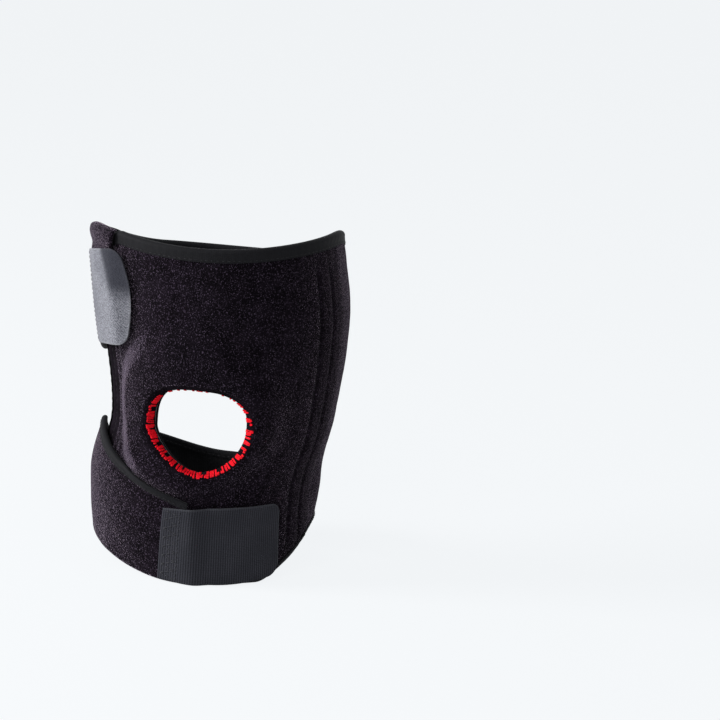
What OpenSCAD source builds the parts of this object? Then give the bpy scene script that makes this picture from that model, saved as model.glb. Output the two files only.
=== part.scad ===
// Wrap-around knee brace with an open kneecap, standing upright as it is worn.
// The origin lies on the leg's axis at the height of the lower edge. +Z runs up the leg,
// -Y is the front, and the two wings fasten over the -X side.
// Angles are measured round the leg in degrees: 0 at the front, 90 at +X, 180 at the back.
// An offset is a distance outwards from the leg form, which is the panel's inner face.

/* [Leg form] */
// Inside width at the lower edge
calf_edge_w = 108; // [100:1:116]
// Inside width below the knee
calf_w = 112; // [106:1:118]
// Inside width at the knee line
knee_w = 114; // [108:1:122]
// Inside width above the knee
thigh_w = 127; // [118:1:136]
// Inside width at the top edge
thigh_edge_w = 127; // [118:1:138]
// Inside depth at the lower edge
calf_edge_d = 103; // [96:1:112]
// Inside depth below the knee
calf_d = 108; // [102:1:114]
// Inside depth at the knee line
knee_d = 109; // [103:1:116]
// Inside depth above the knee
thigh_d = 121; // [113:1:130]
// Inside depth at the top edge
thigh_edge_d = 122; // [113:1:132]
// Sideways bow of the leg at the lower edge
calf_edge_x = -1.5; // [-4:0.5:4]
// Sideways bow of the leg below the knee
calf_x = -3.5; // [-5:0.5:4]
// Sideways bow of the leg at the knee line
knee_x = 3.5; // [-4:0.5:6]
// Sideways bow of the leg above the knee
thigh_x = 2; // [-4:0.5:4]
// Sideways bow of the leg at the top edge
thigh_edge_x = -4; // [-6:0.5:4]
// Height of the form's width below the knee
calf_z = 50; // [40:1:56]
// Height of the form's width above the knee
thigh_z = 140; // [126:1:150]

/* [Panel] */
// Thickness of the foam laminate
panel_t = 4; // [3:0.5:6]
// Height of the top edge at the front
front_h = 184; // [178:1:196]
// How far the top edge rises at the sides
top_rise = 6; // [0:1:10]
// How far the top edge drops at the back
back_drop = 20; // [12:1:24]
// How far the lower edge rises at the sides
side_rise = 14; // [6:1:18]
// Height of the knee line
knee_z = 84; // [80:1:88]
// Width of the bend slit that parts the panel at the knee line
slit = 0.5; // [0.4:0.1:1]
// Angle of the seams that carry the wings, the long way round
seam_a = 245; // [238:1:250]

/* [Hollow of the knee] */
// Angle at which the opening behind the knee starts
notch_a = 97; // [95:1:100]
// Height of the thigh strap at the back
thigh_strap_h = 48; // [40:1:50]
// Height of the calf strap at the back
calf_strap_h = 46; // [38:1:48]

/* [Kneecap] */
// Width of the kneecap opening along the panel's face
hole_w = 56; // [48:1:60]
// Height of the kneecap opening
hole_h = 47; // [40:1:50]
// Angle of the opening's middle
hole_a = -3; // [-6:1:2]
// Width of the ring pad along the panel's face
ring_w = 110; // [100:1:112]
// Height of the ring pad
ring_h = 88; // [78:1:92]
// Thickness of the ring pad at the opening
ring_t = 5; // [3:0.5:7]
// Thickness of the patch that holds the ring pad on the inside
patch_t = 0.6; // [0.4:0.1:1.2]
// Thickness of the overlocked thread round the opening
thread_t = 1.2; // [0.8:0.1:2]

/* [Stays] */
// Width of a flat spiral stay
stay_w = 6.5; // [5:0.5:7]
// Thickness of a flat spiral stay
stay_t = 1.4; // [1:0.1:2]
// Distance between the two stays of a side
stay_pitch = 10; // [9:0.5:10.5]
// Angle of the stitch line between the two stays on the far side
far_stay_a = 68; // [66:0.5:72]
// Pitch of the stay's wire turns
turn_pitch = 3.5; // [3:0.5:6]
// Length of a stay's tip
tip_len = 6; // [4:0.5:8]
// Distance from a pocket's end to the end of its stay
stay_inset = 12; // [10:1:16]
// Thickness of the pocket tape
pocket_t = 0.5; // [0.4:0.1:0.8]

/* [Wings] */
// Thickness of a wing
wing_t = 2.5; // [2:0.5:4]
// Height of the thigh wing's lower edge
thigh_wing_z = 112.5; // [108:0.5:116]
// Angle of the thigh wing's end under its tab
thigh_wing_a = -46; // [-49:1:-44]
// How far the thigh wing's end leans forwards at the top edge, in degrees
thigh_wing_lean = 8; // [0:1:10]
// Height of the calf wing at its seam
calf_seam_h = 68; // [64:1:74]
// Height of the calf wing at the side
calf_wing_h = 75; // [72:1:80]
// Height of the calf wing at its end
calf_end_h = 41; // [36:1:46]
// How far the calf wing's lower edge rises at the side
calf_wing_rise = 9; // [4:1:14]
// Angle of the calf wing's end under its tab
calf_wing_a = 2; // [-2:1:6]

/* [Tabs] */
// Thickness of a tab's woven backing
backing_t = 0.8; // [0.6:0.1:1.4]
// Thickness of a tab's hook tape
hook_t = 0.6; // [0.4:0.1:1]
// Angle of the thigh tab's sewn edge
thigh_tab_a = -86; // [-88:1:-82]
// Length of the thigh tab past the wing's end
thigh_tab_l = 12.5; // [10:0.5:18]
// Height of the thigh tab
thigh_tab_h = 51.5; // [46:0.5:54]
// How far the thigh tab climbs towards its end
thigh_tab_climb = 8; // [2:1:10]
// Corner radius of the thigh tab
thigh_tab_r = 11; // [6:1:16]
// Angle of the calf tab's sewn edge at its lower corner
calf_tab_a = -15; // [-18:1:-13]
// How far the calf tab's sewn edge leans forwards at the top, in degrees
calf_tab_lean = 4; // [0:1:6]
// Length of the calf tab past the wing's end
calf_tab_l = 50; // [44:1:54]
// Height of the calf tab
calf_tab_h = 40; // [34:1:41]
// How far the calf tab climbs towards its end
calf_tab_climb = 4.5; // [2:0.5:8]
// Corner radius of the calf tab
calf_tab_r = 7; // [4:1:12]
// Margin round the hook tape
hook_margin = 1.5; // [1:0.5:3]

/* [Edge tape] */
// Thickness of the edge tape
tape_t = 0.5; // [0.4:0.1:1]
// Height of the tape on the top edge
top_tape_h = 7; // [5:0.5:9]
// Height of the tape on the lower edge
hem_tape_h = 3.5; // [3:0.5:6]
// Height of the tape on the other edges
edge_tape_h = 4; // [3:0.5:4.5]

/* [Clearances] */
// Gap between pieces that part when the brace is opened or bent
open_gap = 0.4; // [0.3:0.05:0.8]
// Gap between layers that are sewn together
sewn_gap = 0.2; // [0.15:0.05:0.25]

/* [Hidden] */

full_turn = 360;
half_turn = full_turn / 2;
plush = [0.13, 0.12, 0.14];
tape_black = [0.2, 0.2, 0.22];
foam_grey = [0.45, 0.45, 0.47];
steel = [0.72, 0.73, 0.75];
pale_webbing = [0.55, 0.56, 0.58];
dark_webbing = [0.24, 0.24, 0.27];

// How the form is divided: columns round the leg, rows up it
long_step = 6;
notch_steps = 11;
back_columns = 15;
hole_columns = 16;
ring_rows = 6;
pocket_rows = 12;
edge_rows = 10;
plain_rows = 7;
loop_columns = 40;
wing_columns = 16;
wing_rows = 7;
tab_rows = 6;
tab_columns = 15;
corner_columns = 5;

// Levels that follow from the sizes above
stay_room = 0.4;
tape_room = tape_t + sewn_gap;
stay_floor = -stay_t / 2;
stay_rise = stay_floor + stay_t + stay_room;
wing_lift = panel_t + stay_rise + tape_room + open_gap;
tab_root = wing_lift + wing_t + open_gap;
tab_seat = panel_t + tape_room + open_gap;
back_top_z = front_h - back_drop;

function smooth(t) = let (c = min(1, max(0, t))) c * c * (3 - 2 * c);
function mix(a, b, t) = a + (b - a) * t;
function spread(a, b, n) = [for (i = [0:n - 1]) mix(a, b, i / n)];
function through(a, b, n) = [for (i = [0:n]) mix(a, b, i / n)];
function degrees(length, radius) = length / radius * half_turn / PI;

// The leg form, as smooth curves through its five heights
form_z = [0, calf_z, knee_z, thigh_z, front_h];
form_w = [calf_edge_w, calf_w, knee_w, thigh_w, thigh_edge_w] / 2;
form_d = [calf_edge_d, calf_d, knee_d, thigh_d, thigh_edge_d] / 2;
form_x = [calf_edge_x, calf_x, knee_x, thigh_x, thigh_edge_x];
function slope(v, i) =
    let (lo = max(0, i - 1), hi = min(len(v) - 1, i + 1))
    (v[hi] - v[lo]) / (form_z[hi] - form_z[lo]);
function along(v, z) =
    let (
        zc = min(front_h, max(0, z)),
        i = zc < calf_z ? 0 : zc < knee_z ? 1 : zc < thigh_z ? 2 : 3,
        h = form_z[i + 1] - form_z[i],
        t = (zc - form_z[i]) / h,
        s = 1 - t
    )
    v[i] * (1 + 2 * t) * s * s + slope(v, i) * h * t * s * s
        + v[i + 1] * t * t * (1 + 2 * s) - slope(v, i + 1) * h * t * t * s;
function skin(a, z, off) =
    [
        along(form_x, z) + (along(form_w, z) + off) * sin(a),
        -(along(form_d, z) + off) * cos(a),
        z
    ];

// Edges of the panel. The top edge drops to the back from a start angle over a run of angle,
// sooner on the fastening side.
flat_share = 0.62;
near_drop = [48, 92];
far_drop = [80, 80];
notch_run = 32;
function behind(a) =
    a > 0 && a < half_turn
        ? smooth((a - far_drop[0]) / far_drop[1])
        : smooth(((a > 0 ? full_turn - a : -a) - near_drop[0]) / near_drop[1]);
function top_z(a) = front_h + top_rise * sin(a) ^ 2 - back_drop * behind(a);
function bottom_z(a) = side_rise * smooth((abs(sin(a)) - flat_share) / (1 - flat_share));
function to_seam(a) = smooth((a - half_turn) / (seam_a - half_turn));
function notch_open(a) = smooth((a - notch_a) / notch_run);
function thigh_low(a) =
    mix(knee_z + slit / 2, mix(back_top_z - thigh_strap_h, thigh_wing_z, to_seam(a)), notch_open(a));
function calf_high(a) =
    mix(knee_z - slit / 2, mix(calf_strap_h, calf_seam_h, to_seam(a)), notch_open(a));

// Outline of the kneecap opening, fuller at the top and drawn in at the lower left
front_r = knee_d / 2 + panel_t + ring_t;
hole_half_a = degrees(hole_w / 2, front_r);
ring_half_a = degrees(ring_w / 2, front_r);
hole_power = 2.6;
hole_skew = 0.25;
function hole_top(u) = hole_h / 2 * max(0, 1 - abs(u) ^ hole_power) ^ (1 / hole_power);
function hole_bottom(u) = hole_h / 2 * sqrt(max(0, 1 - (u - hole_skew * (1 - u * u)) ^ 2));
function hole_u(a) = (a - hole_a) / hole_half_a;
function hole_edge(t, grow) =
    let (u = cos(t), rise = sin(t) >= 0 ? hole_top(u) : -hole_bottom(u))
    [
        hole_a + hole_half_a * u * (1 + 2 * grow / hole_w),
        knee_z + rise * (1 + 2 * grow / hole_h)
    ];
function ring_edge(t, share) =
    [hole_a + ring_half_a * share * cos(t), knee_z + ring_h / 2 * share * sin(t)];

// The fastening side from the opening outwards: patch, two stays, and the tape on the free edge
patch_share = 0.97;
stay_half_a = degrees(stay_pitch / 2, knee_w / 2 + stay_rise);
near_stay_a = hole_a - patch_share * ring_half_a - degrees(open_gap, knee_w / 2) - 2 * stay_half_a;
edge_a = near_stay_a - 2 * stay_half_a - degrees(edge_tape_h + open_gap, min(form_w));

// How far the panel stands off the leg form, over the ring pad and over the stays
ring_slope = 0.42;
ring_share = 0.9;
stay_flat = 0.55;
fade = 8;
pocket_low = side_rise + hem_tape_h + sewn_gap;
pocket_high = min(front_h, top_z(edge_a)) - top_tape_h - sewn_gap;
stay_low = pocket_low + stay_inset;
stay_high = pocket_high - stay_inset;
stay_angles = [for (middle = [near_stay_a, far_stay_a]) for (k = [-1, 1]) middle + k * stay_half_a];
function ring_reach(a, z) = norm([(a - hole_a) / ring_half_a, (z - knee_z) / (ring_h / 2)]);
function ring_bulge(a, z) = ring_t * smooth((1 - ring_reach(a, z)) / ring_slope);
function stay_bump(a, z) =
    let (
        near = min([for (s = stay_angles) abs(a - s)]) / stay_half_a,
        ends = min(z - pocket_low, pocket_high - z) / fade
    )
    stay_rise * smooth((1 - near) / (1 - stay_flat)) * smooth(ends);
function panel_off(a, z) = max(ring_bulge(a, z), stay_bump(a, z));

// A closed solid between two grids of points, given by functions of a column and a row
module shell(cols, rows, inner, outer, loop = false) {
    nc = len(cols);
    nr = len(rows);
    count = nc * nr;
    last = loop ? nc - 1 : nc - 2;
    points = concat(
        [for (c = cols) for (r = rows) inner(c, r)],
        [for (c = cols) for (r = rows) outer(c, r)]
    );
    function in_at(i, j) = (i % nc) * nr + j;
    function out_at(i, j) = count + in_at(i, j);
    quads = concat(
        [for (i = [0:last]) for (j = [0:nr - 2])
            [out_at(i, j), out_at(i, j + 1), out_at(i + 1, j + 1), out_at(i + 1, j)]],
        [for (i = [0:last]) for (j = [0:nr - 2])
            [in_at(i, j), in_at(i + 1, j), in_at(i + 1, j + 1), in_at(i, j + 1)]],
        [for (i = [0:last]) [out_at(i, 0), out_at(i + 1, 0), in_at(i + 1, 0), in_at(i, 0)]],
        [for (i = [0:last])
            [out_at(i + 1, nr - 1), out_at(i, nr - 1), in_at(i, nr - 1), in_at(i + 1, nr - 1)]],
        loop ? [] : [for (j = [0:nr - 2])
            [out_at(0, j + 1), out_at(0, j), in_at(0, j), in_at(0, j + 1)]],
        loop ? [] : [for (j = [0:nr - 2])
            [out_at(nc - 1, j), out_at(nc - 1, j + 1), in_at(nc - 1, j + 1), in_at(nc - 1, j)]]
    );
    triangles = [for (q = quads) each [[q[0], q[1], q[2]], [q[0], q[2], q[3]]]];
    polyhedron(points, triangles);
}

// Columns of the panel: closer over the stays and round the opening
function stay_columns(s) = [for (k = [-1, -stay_flat, stay_flat]) s + k * stay_half_a];
hole_left = hole_a - hole_half_a;
hole_right = hole_a + hole_half_a;
function stay_pair(middle) =
    [each stay_columns(middle - stay_half_a), each stay_columns(middle + stay_half_a)];
panel_columns = [
    edge_a,
    each stay_pair(near_stay_a),
    each spread(near_stay_a + 2 * stay_half_a, hole_left, long_step),
    for (t = spread(half_turn, 0, hole_columns)) hole_a + hole_half_a * cos(t),
    each spread(hole_right, far_stay_a - 2 * stay_half_a, long_step),
    each stay_pair(far_stay_a),
    each spread(far_stay_a + 2 * stay_half_a, notch_a, long_step / 2),
    each spread(notch_a, notch_a + notch_run, notch_steps),
    each through(notch_a + notch_run, seam_a, back_columns)
];

// The halves of the panel stop at the opening's rim, and short of the tape that covers their edges
ring_band = 0.46;
notch_lead = 8;
function hole_or(a, edge, rise) = abs(hole_u(a)) < 1 ? max(edge, rise) : edge;
function tape_at_notch(a) = a > notch_a + notch_lead ? tape_room : 0;

module panel_half(rows, low, high) {
    shell(
        panel_columns, rows,
        function (a, v) let (z = mix(low(a), high(a), v)) skin(a, z, panel_off(a, z)),
        function (a, v) let (z = mix(low(a), high(a), v)) skin(a, z, panel_off(a, z) + panel_t)
    );
}

module thigh_panel() {
    color(plush)
        panel_half(
            [each spread(0, ring_band, ring_rows), each through(ring_band, 1, plain_rows)],
            function (a) hole_or(a, thigh_low(a) + tape_at_notch(a), knee_z + hole_top(hole_u(a))),
            function (a) top_z(a) - tape_room
        );
}

module calf_panel() {
    color(plush)
        panel_half(
            [each spread(0, 1 - ring_band, plain_rows), each through(1 - ring_band, 1, ring_rows)],
            function (a) bottom_z(a) + tape_room,
            function (a)
                -hole_or(a, tape_at_notch(a) - calf_high(a), hole_bottom(hole_u(a)) - knee_z)
        );
}

// Kneecap pieces run round the opening. The pad lies a little under the panel, and closer at its rim.
around = spread(0, full_turn, loop_columns);
pad_room = 0.6;
pad_rim = 0.25;
function ring_room(v) = mix(2 * sewn_gap, pad_room, smooth(v / pad_rim));

module kneecap_ring_pad() {
    function at(t, v) =
        let (o = ring_edge(t, ring_share), h = hole_edge(t, sewn_gap))
        [mix(o[0], h[0], v), mix(o[1], h[1], v)];
    color(foam_grey)
        shell(
            around, through(0, 1, long_step),
            function (t, v) let (p = at(t, v)) skin(p[0], p[1], sewn_gap),
            function (t, v) let (p = at(t, v)) skin(p[0], p[1], ring_bulge(p[0], p[1]) - ring_room(v)),
            loop = true
        );
}

module kneecap_patch() {
    function at(t, v) =
        let (o = ring_edge(t, patch_share), h = hole_edge(t, sewn_gap))
        [mix(o[0], h[0], v), mix(o[1], h[1], v)];
    color(tape_black)
        shell(
            around, through(0, 1, plain_rows),
            function (t, v) let (p = at(t, v)) skin(p[0], p[1], -sewn_gap - patch_t),
            function (t, v) let (p = at(t, v)) skin(p[0], p[1], -sewn_gap),
            loop = true
        );
}

module kneecap_overlock() {
    front = ring_t + panel_t;
    back = -sewn_gap - patch_t;
    color("crimson")
        shell(
            around, [front, back],
            function (t, off) let (p = hole_edge(t, -sewn_gap)) skin(p[0], p[1], off),
            function (t, off) let (p = hole_edge(t, -sewn_gap - thread_t)) skin(p[0], p[1], off),
            loop = true
        );
}

// Stays: flat spirals whose edges show the turns, with a tip at each end
stay_shoulder = 0.65;
stay_edge_t = 0.5;
function stay_level(k, side) =
    stay_floor + stay_t / 2 + side * stay_t / 2 * (abs(k) < 1 ? 1 : stay_edge_t);

module flat_bar(s, low, high, n, ripple) {
    columns = [-1, -stay_shoulder, stay_shoulder, 1];
    function at(k, i, side) =
        let (
            z = mix(low, high, i / n),
            wide = stay_w / 2 - (i % 2) * ripple,
            a = s + degrees(k * wide, along(form_w, z) + stay_floor)
        )
        skin(a, z, stay_level(k, side));
    shell(
        columns, [for (i = [0:n]) i],
        function (k, i) at(k, i, -1),
        function (k, i) at(k, i, 1)
    );
}

turn_ripple = 0.4;
bar_low = stay_low + tip_len;
bar_high = stay_high - tip_len;

module stay(s) {
    color(steel)
        flat_bar(s, bar_low, bar_high, 2 * round((bar_high - bar_low) / turn_pitch), turn_ripple);
}

module inner_front_stay() { stay(stay_angles[1]); }
module inner_rear_stay() { stay(stay_angles[0]); }
module outer_front_stay() { stay(stay_angles[2]); }
module outer_rear_stay() { stay(stay_angles[3]); }

module tips(low, high) {
    color("dimgray")
        for (s = stay_angles)
            flat_bar(s, low, high, 2, 0);
}

module stay_upper_tips() { tips(bar_high + sewn_gap, stay_high); }
module stay_lower_tips() { tips(stay_low, bar_low - sewn_gap); }

// A pocket's tape is sewn to the panel at its edges and passes under the stay
pocket_share = 0.96;
function pocket_face(k) = -sewn_gap + (abs(k) > stay_flat ? 0 : stay_floor);

module pockets(low, high) {
    color(tape_black)
        for (s = stay_angles)
            shell(
                [-pocket_share, -stay_flat, stay_flat, pocket_share],
                through(low, high, pocket_rows),
                function (k, z) skin(s + k * stay_half_a, z, pocket_face(k) - pocket_t),
                function (k, z) skin(s + k * stay_half_a, z, pocket_face(k))
            );
}

module thigh_stay_pockets() { pockets(knee_z + slit, pocket_high); }
module calf_stay_pockets() { pockets(pocket_low, knee_z - slit); }

// Edge tape: a folded strip that covers both faces and the edge of a sheet.
// The sheet's faces are given as offsets, and up is 1 on a lower edge and -1 on an upper one.
module folded_tape(cols, edge, face_in, face_out, height, up) {
    fold = up > 0 ? [[0, 1], [0, 0], [1, 0], [1, 1]] : [[1, 1], [1, 0], [0, 0], [0, 1]];
    function at(a, k, cover) =
        let (
            z = edge(a) + up * (k[1] > 0 ? height : tape_t - cover),
            out = k[0] > 0 ? face_out(a, z) + sewn_gap + cover : face_in(a, z) - sewn_gap - cover
        )
        skin(a, z, out);
    shell(
        cols, fold,
        function (a, k) at(a, k, 0),
        function (a, k) at(a, k, tape_t)
    );
}

panel_in = function (a, z) panel_off(a, z);
panel_out = function (a, z) panel_off(a, z) + panel_t;
notch_columns = [for (a = panel_columns) if (a > notch_a + notch_lead) a];

module thigh_top_tape() {
    color(tape_black)
        folded_tape(panel_columns, function (a) top_z(a), panel_in, panel_out, top_tape_h, -1);
}

module calf_hem_tape() {
    color(tape_black)
        folded_tape(panel_columns, function (a) bottom_z(a), panel_in, panel_out, hem_tape_h, 1);
}

module thigh_notch_tape() {
    color(tape_black)
        folded_tape(notch_columns, function (a) thigh_low(a), panel_in, panel_out, edge_tape_h, 1);
}

module calf_notch_tape() {
    color(tape_black)
        folded_tape(notch_columns, function (a) calf_high(a), panel_in, panel_out, edge_tape_h, -1);
}

// Tape on the panel's free edge, folded round it from the inner face to the outer one
module upright_tape(low, high) {
    fold = [[0, 1], [0, 0], [1, 0], [1, 1]];
    function at(k, z, cover) =
        let (
            r = along(form_w, z) + panel_t / 2,
            a = edge_a + degrees(k[1] > 0 ? edge_tape_h : -sewn_gap - cover, r)
        )
        skin(a, z, k[0] > 0 ? panel_t + sewn_gap + cover : -sewn_gap - cover);
    shell(
        fold, through(low, high, edge_rows),
        function (k, z) at(k, z, 0),
        function (k, z) at(k, z, tape_t)
    );
}

module thigh_edge_tape() {
    color(tape_black)
        upright_tape(knee_z + slit, top_z(edge_a) - top_tape_h - sewn_gap);
}

module calf_edge_tape() {
    color(tape_black)
        upright_tape(bottom_z(edge_a) + hem_tape_h + sewn_gap, knee_z - slit);
}

// Wings: they leave the panel at the seam, climb over its free edge and ride over the ring pad's rim
wing_start = seam_a - full_turn;
climb_lead = 8;
climb_end = edge_a - climb_lead;
wing_gap_a = degrees(open_gap, thigh_w / 2);
function wing_off(a, z) =
    wing_lift * smooth((a - wing_start) / (climb_end - wing_start)) + max(0, ring_bulge(a, z) - stay_rise);
wing_in = function (a, z) wing_off(a, z);
wing_out = function (a, z) wing_off(a, z) + wing_t;

module wing(low, high, ends) {
    function at(u, v) =
        let (
            a = mix(wing_start + wing_gap_a, ends(v), u),
            z = mix(low(a), high(a), v)
        )
        [a, z, wing_off(a, z)];
    shell(
        through(0, 1, wing_columns), through(0, 1, wing_rows),
        function (u, v) let (p = at(u, v)) skin(p[0], p[1], p[2]),
        function (u, v) let (p = at(u, v)) skin(p[0], p[1], p[2] + wing_t)
    );
}

lean_h = 12;
thigh_tab_z = thigh_wing_z + edge_tape_h + open_gap;
thigh_tab_top = thigh_tab_z + thigh_tab_climb + thigh_tab_h + open_gap;
function thigh_wing_end(v) =
    let (z = mix(thigh_wing_z, top_z(thigh_wing_a), v))
    thigh_wing_a + thigh_wing_lean * smooth((z - thigh_tab_top) / lean_h);
calf_peak_a = -75;
function calf_wing_low(a) = sewn_gap + calf_wing_rise * sin(a) ^ 2;
function calf_wing_high(a) =
    a < calf_peak_a
        ? mix(calf_seam_h, calf_wing_h, smooth((a - wing_start) / (calf_peak_a - wing_start)))
        : mix(calf_wing_h, calf_end_h, smooth((a - calf_peak_a) / -calf_peak_a));

module thigh_wing() {
    color(plush)
        wing(
            function (a) thigh_wing_z + tape_room, function (a) top_z(a),
            function (v) thigh_wing_end(v)
        );
}

module calf_wing() {
    color(plush)
        wing(
            function (a) calf_wing_low(a), function (a) calf_wing_high(a) - tape_room,
            function (v) calf_wing_a
        );
}

module thigh_wing_tape() {
    color(tape_black)
        folded_tape(
            through(wing_start + wing_gap_a, thigh_wing_a, wing_columns),
            function (a) thigh_wing_z, wing_in, wing_out, edge_tape_h, 1
        );
}

calf_wing_columns = through(wing_start + wing_gap_a, calf_wing_a, wing_columns);
calf_tape_a = calf_tab_a - wing_gap_a;

module calf_wing_tape() {
    color(tape_black)
        folded_tape(
            [for (a = calf_wing_columns) if (a < calf_tape_a) a, calf_tape_a],
            function (a) calf_wing_high(a), wing_in, wing_out, edge_tape_h, -1
        );
}

// Tabs: sewn to the wing's face at one edge, they step down past its end to the panel.
// The hook tape lies under the backing on the same stations and rows, past the wing and inside the margin.
step_lead = 1;
step_run = 10;
function tab_off(a, z, wing_a) =
    mix(tab_root, tab_seat, smooth((a - wing_a - step_lead) / step_run))
        + max(0, ring_bulge(a, z) - tape_room);
function corner(d, r) = d < r ? r - sqrt(r * r - (r - d) ^ 2) : 0;
function arc_length(a, radius) = a * PI / half_turn * radius;

// Stations along a tab in millimetres, closer at the rounded end
function tab_stations(length, r) =
    [
        each spread(0, length - r, tab_columns),
        for (t = spread(0, half_turn / 2, corner_columns)) length - r + r * sin(t),
        length
    ];

module tab_layer(lap, length, height, r, root, tip, low, wing_a, hooks) {
    edge_share = hook_margin / height;
    level = hooks ? 0 : hook_t + sewn_gap;
    t = hooks ? hook_t : backing_t;
    stations = tab_stations(length, r);
    rows = [0, each through(edge_share, 1 - edge_share, tab_rows), 1];
    function at(s, v) =
        let (
            cut = corner(length - s, r),
            z = mix(low(s) + cut, low(s) + height - cut, v),
            a = mix(root(v), tip, s / length)
        )
        [a, z, tab_off(a, z, wing_a) + level];
    shell(
        [for (s = stations) if (!hooks || (s > lap && s <= length - hook_margin)) s],
        [for (v = rows) if (!hooks || (v > 0 && v < 1)) v],
        function (s, v) let (p = at(s, v)) skin(p[0], p[1], p[2]),
        function (s, v) let (p = at(s, v)) skin(p[0], p[1], p[2] + t)
    );
}

module thigh_tab_layer(hooks) {
    radius = thigh_w / 2 + tab_seat;
    lap = arc_length(thigh_wing_a - thigh_tab_a, radius);
    length = lap + thigh_tab_l;
    tab_layer(
        lap, length, thigh_tab_h, thigh_tab_r,
        function (v) thigh_tab_a, thigh_wing_a + degrees(thigh_tab_l, radius),
        function (s) thigh_tab_z + thigh_tab_climb * s / length, thigh_wing_a, hooks
    );
}

module calf_tab_layer(hooks) {
    radius = calf_w / 2 + tab_seat;
    lap = arc_length(calf_wing_a - calf_tab_a, radius);
    length = lap + calf_tab_l;
    tab_layer(
        lap, length, calf_tab_h, calf_tab_r,
        function (v) calf_tab_a + calf_tab_lean * v, calf_wing_a + degrees(calf_tab_l, radius),
        function (s) sewn_gap + calf_tab_climb * s / length, calf_wing_a, hooks
    );
}

module thigh_tab_backing() {
    color(pale_webbing)
        thigh_tab_layer(false);
}

module thigh_tab_hooks() {
    color("black")
        thigh_tab_layer(true);
}

module calf_tab_backing() {
    color(dark_webbing)
        calf_tab_layer(false);
}

module calf_tab_hooks() {
    color("black")
        calf_tab_layer(true);
}

thigh_panel();
calf_panel();
kneecap_ring_pad();
kneecap_patch();
kneecap_overlock();
inner_front_stay();
inner_rear_stay();
outer_front_stay();
outer_rear_stay();
stay_upper_tips();
stay_lower_tips();
thigh_stay_pockets();
calf_stay_pockets();
thigh_top_tape();
thigh_notch_tape();
thigh_edge_tape();
calf_hem_tape();
calf_notch_tape();
calf_edge_tape();
thigh_wing();
thigh_wing_tape();
thigh_tab_backing();
thigh_tab_hooks();
calf_wing();
calf_wing_tape();
calf_tab_backing();
calf_tab_hooks();
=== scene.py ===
import math
import random

import bmesh
import bpy
import numpy as np
from mathutils import Matrix, Vector, noise


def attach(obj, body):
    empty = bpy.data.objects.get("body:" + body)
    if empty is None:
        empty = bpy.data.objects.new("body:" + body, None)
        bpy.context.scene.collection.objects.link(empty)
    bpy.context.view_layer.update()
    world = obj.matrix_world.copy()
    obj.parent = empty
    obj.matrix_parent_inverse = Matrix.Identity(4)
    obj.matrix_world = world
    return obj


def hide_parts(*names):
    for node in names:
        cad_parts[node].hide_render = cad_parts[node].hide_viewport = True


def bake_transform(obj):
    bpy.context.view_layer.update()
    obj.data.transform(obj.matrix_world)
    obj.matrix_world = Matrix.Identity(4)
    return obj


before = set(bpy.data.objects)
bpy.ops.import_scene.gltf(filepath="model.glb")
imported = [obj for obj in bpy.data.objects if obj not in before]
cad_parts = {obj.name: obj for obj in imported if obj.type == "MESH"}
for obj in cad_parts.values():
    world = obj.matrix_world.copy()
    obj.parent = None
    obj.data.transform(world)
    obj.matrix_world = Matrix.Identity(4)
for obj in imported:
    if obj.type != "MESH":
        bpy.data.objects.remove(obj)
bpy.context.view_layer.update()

MM = 0.001
chance = random.Random(11)

# Lengths are in millimetres, and angles in degrees round the brace with 0 at the front and 90 at +X.
# _A is an angle, _Z a height, _T a thickness, _R a radius. Two such numbers give a change's start and end.

# The form inside the brace: its sections' heights, half widths, half depths and shifts along X
FORM_Z = (0, 50, 84, 140, 184)
FORM_W = (54, 56, 57, 63.5, 63.5)
FORM_D = (51.5, 54, 54.5, 60.5, 61)
FORM_X = (-1.5, -3.5, 3.5, 2, -4)
SIDE_R = 60

# A fuller place on the far side of the calf, behind the stays
FULL_CALF = 2.6
FULL_CALF_Z = 46
FULL_CALF_SPREAD = 17
FULL_CALF_A = (78, 92, 110, 132)

# Thicknesses, and the gap between sewn layers
PANEL_T = 4
RING_T = 5
WING_T = 2.5
PATCH_T = 0.6
TAPE_T = 0.5
POCKET_T = 0.5
BACKING_T = 0.8
HOOK_T = 0.6
SEWN_GAP = 0.2

# The panel's top edge and hem
FRONT_H = 184
TOP_RISE = 6
BACK_DROP = 20
NEAR_DROP_A = (48, 140)
FAR_DROP_A = (80, 160)
RIM_DIP = 3.6
RIM_DIP_A = (-41, -51)
SIDE_RISE = 14
FLAT_SHARE = 0.62
NEAR_RISE = 14
FAR_RISE = 11
FAR_RISE_A = (58, 96, 105, 150)

# The free edge, the wings' seam, and the notch behind the knee with its straps
KNEE_Z = 84
EDGE_A = -75.93
EDGE_INSET = 2.65
BACK_A = 180
SEAM_A = 245
NOTCH_A = 97
NOTCH_RUN = 32
NOTCH_APEX_A = (100, 104)
NOTCH_ROUNDING = 9
NOTCH_REACH = 20
BACK_R = 59
THIGH_STRAP_H = 48
CALF_STRAP_H = 46
CALF_SEAM_H = 61

# The kneecap opening with its lip, the ring pad, and the swelling that the pad gives the outer face
HOLE_W = 56
HOLE_H = 47
HOLE_LOW = 22.5
HOLE_A = -3
HOLE_POWER = 2.6
HOLE_SKEW = 0.25
HOLE_TAPER = 1.65
LIP_R = 4.6
LIP_SHARE = 0.74
RING_W = 110
RING_H = 88
RING_Z = KNEE_Z + 9
RING_SLOPE = 0.42
RING_SHARE = 0.9
PATCH_SHARE = 0.97
SWELL_W = 115
SWELL_H = 101
SWELL_SLOPE = 0.25
SWELL_RUN = 20
# Width round the opening where the outer face takes the darker plush without sheen
DARK_RIM_W = 2.6
# Where the plush with a painted highlight goes: the swelling's slope on the near side
HIGHLIGHT_A = -28
HIGHLIGHT_SHARE = (0.04, 0.96)

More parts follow.
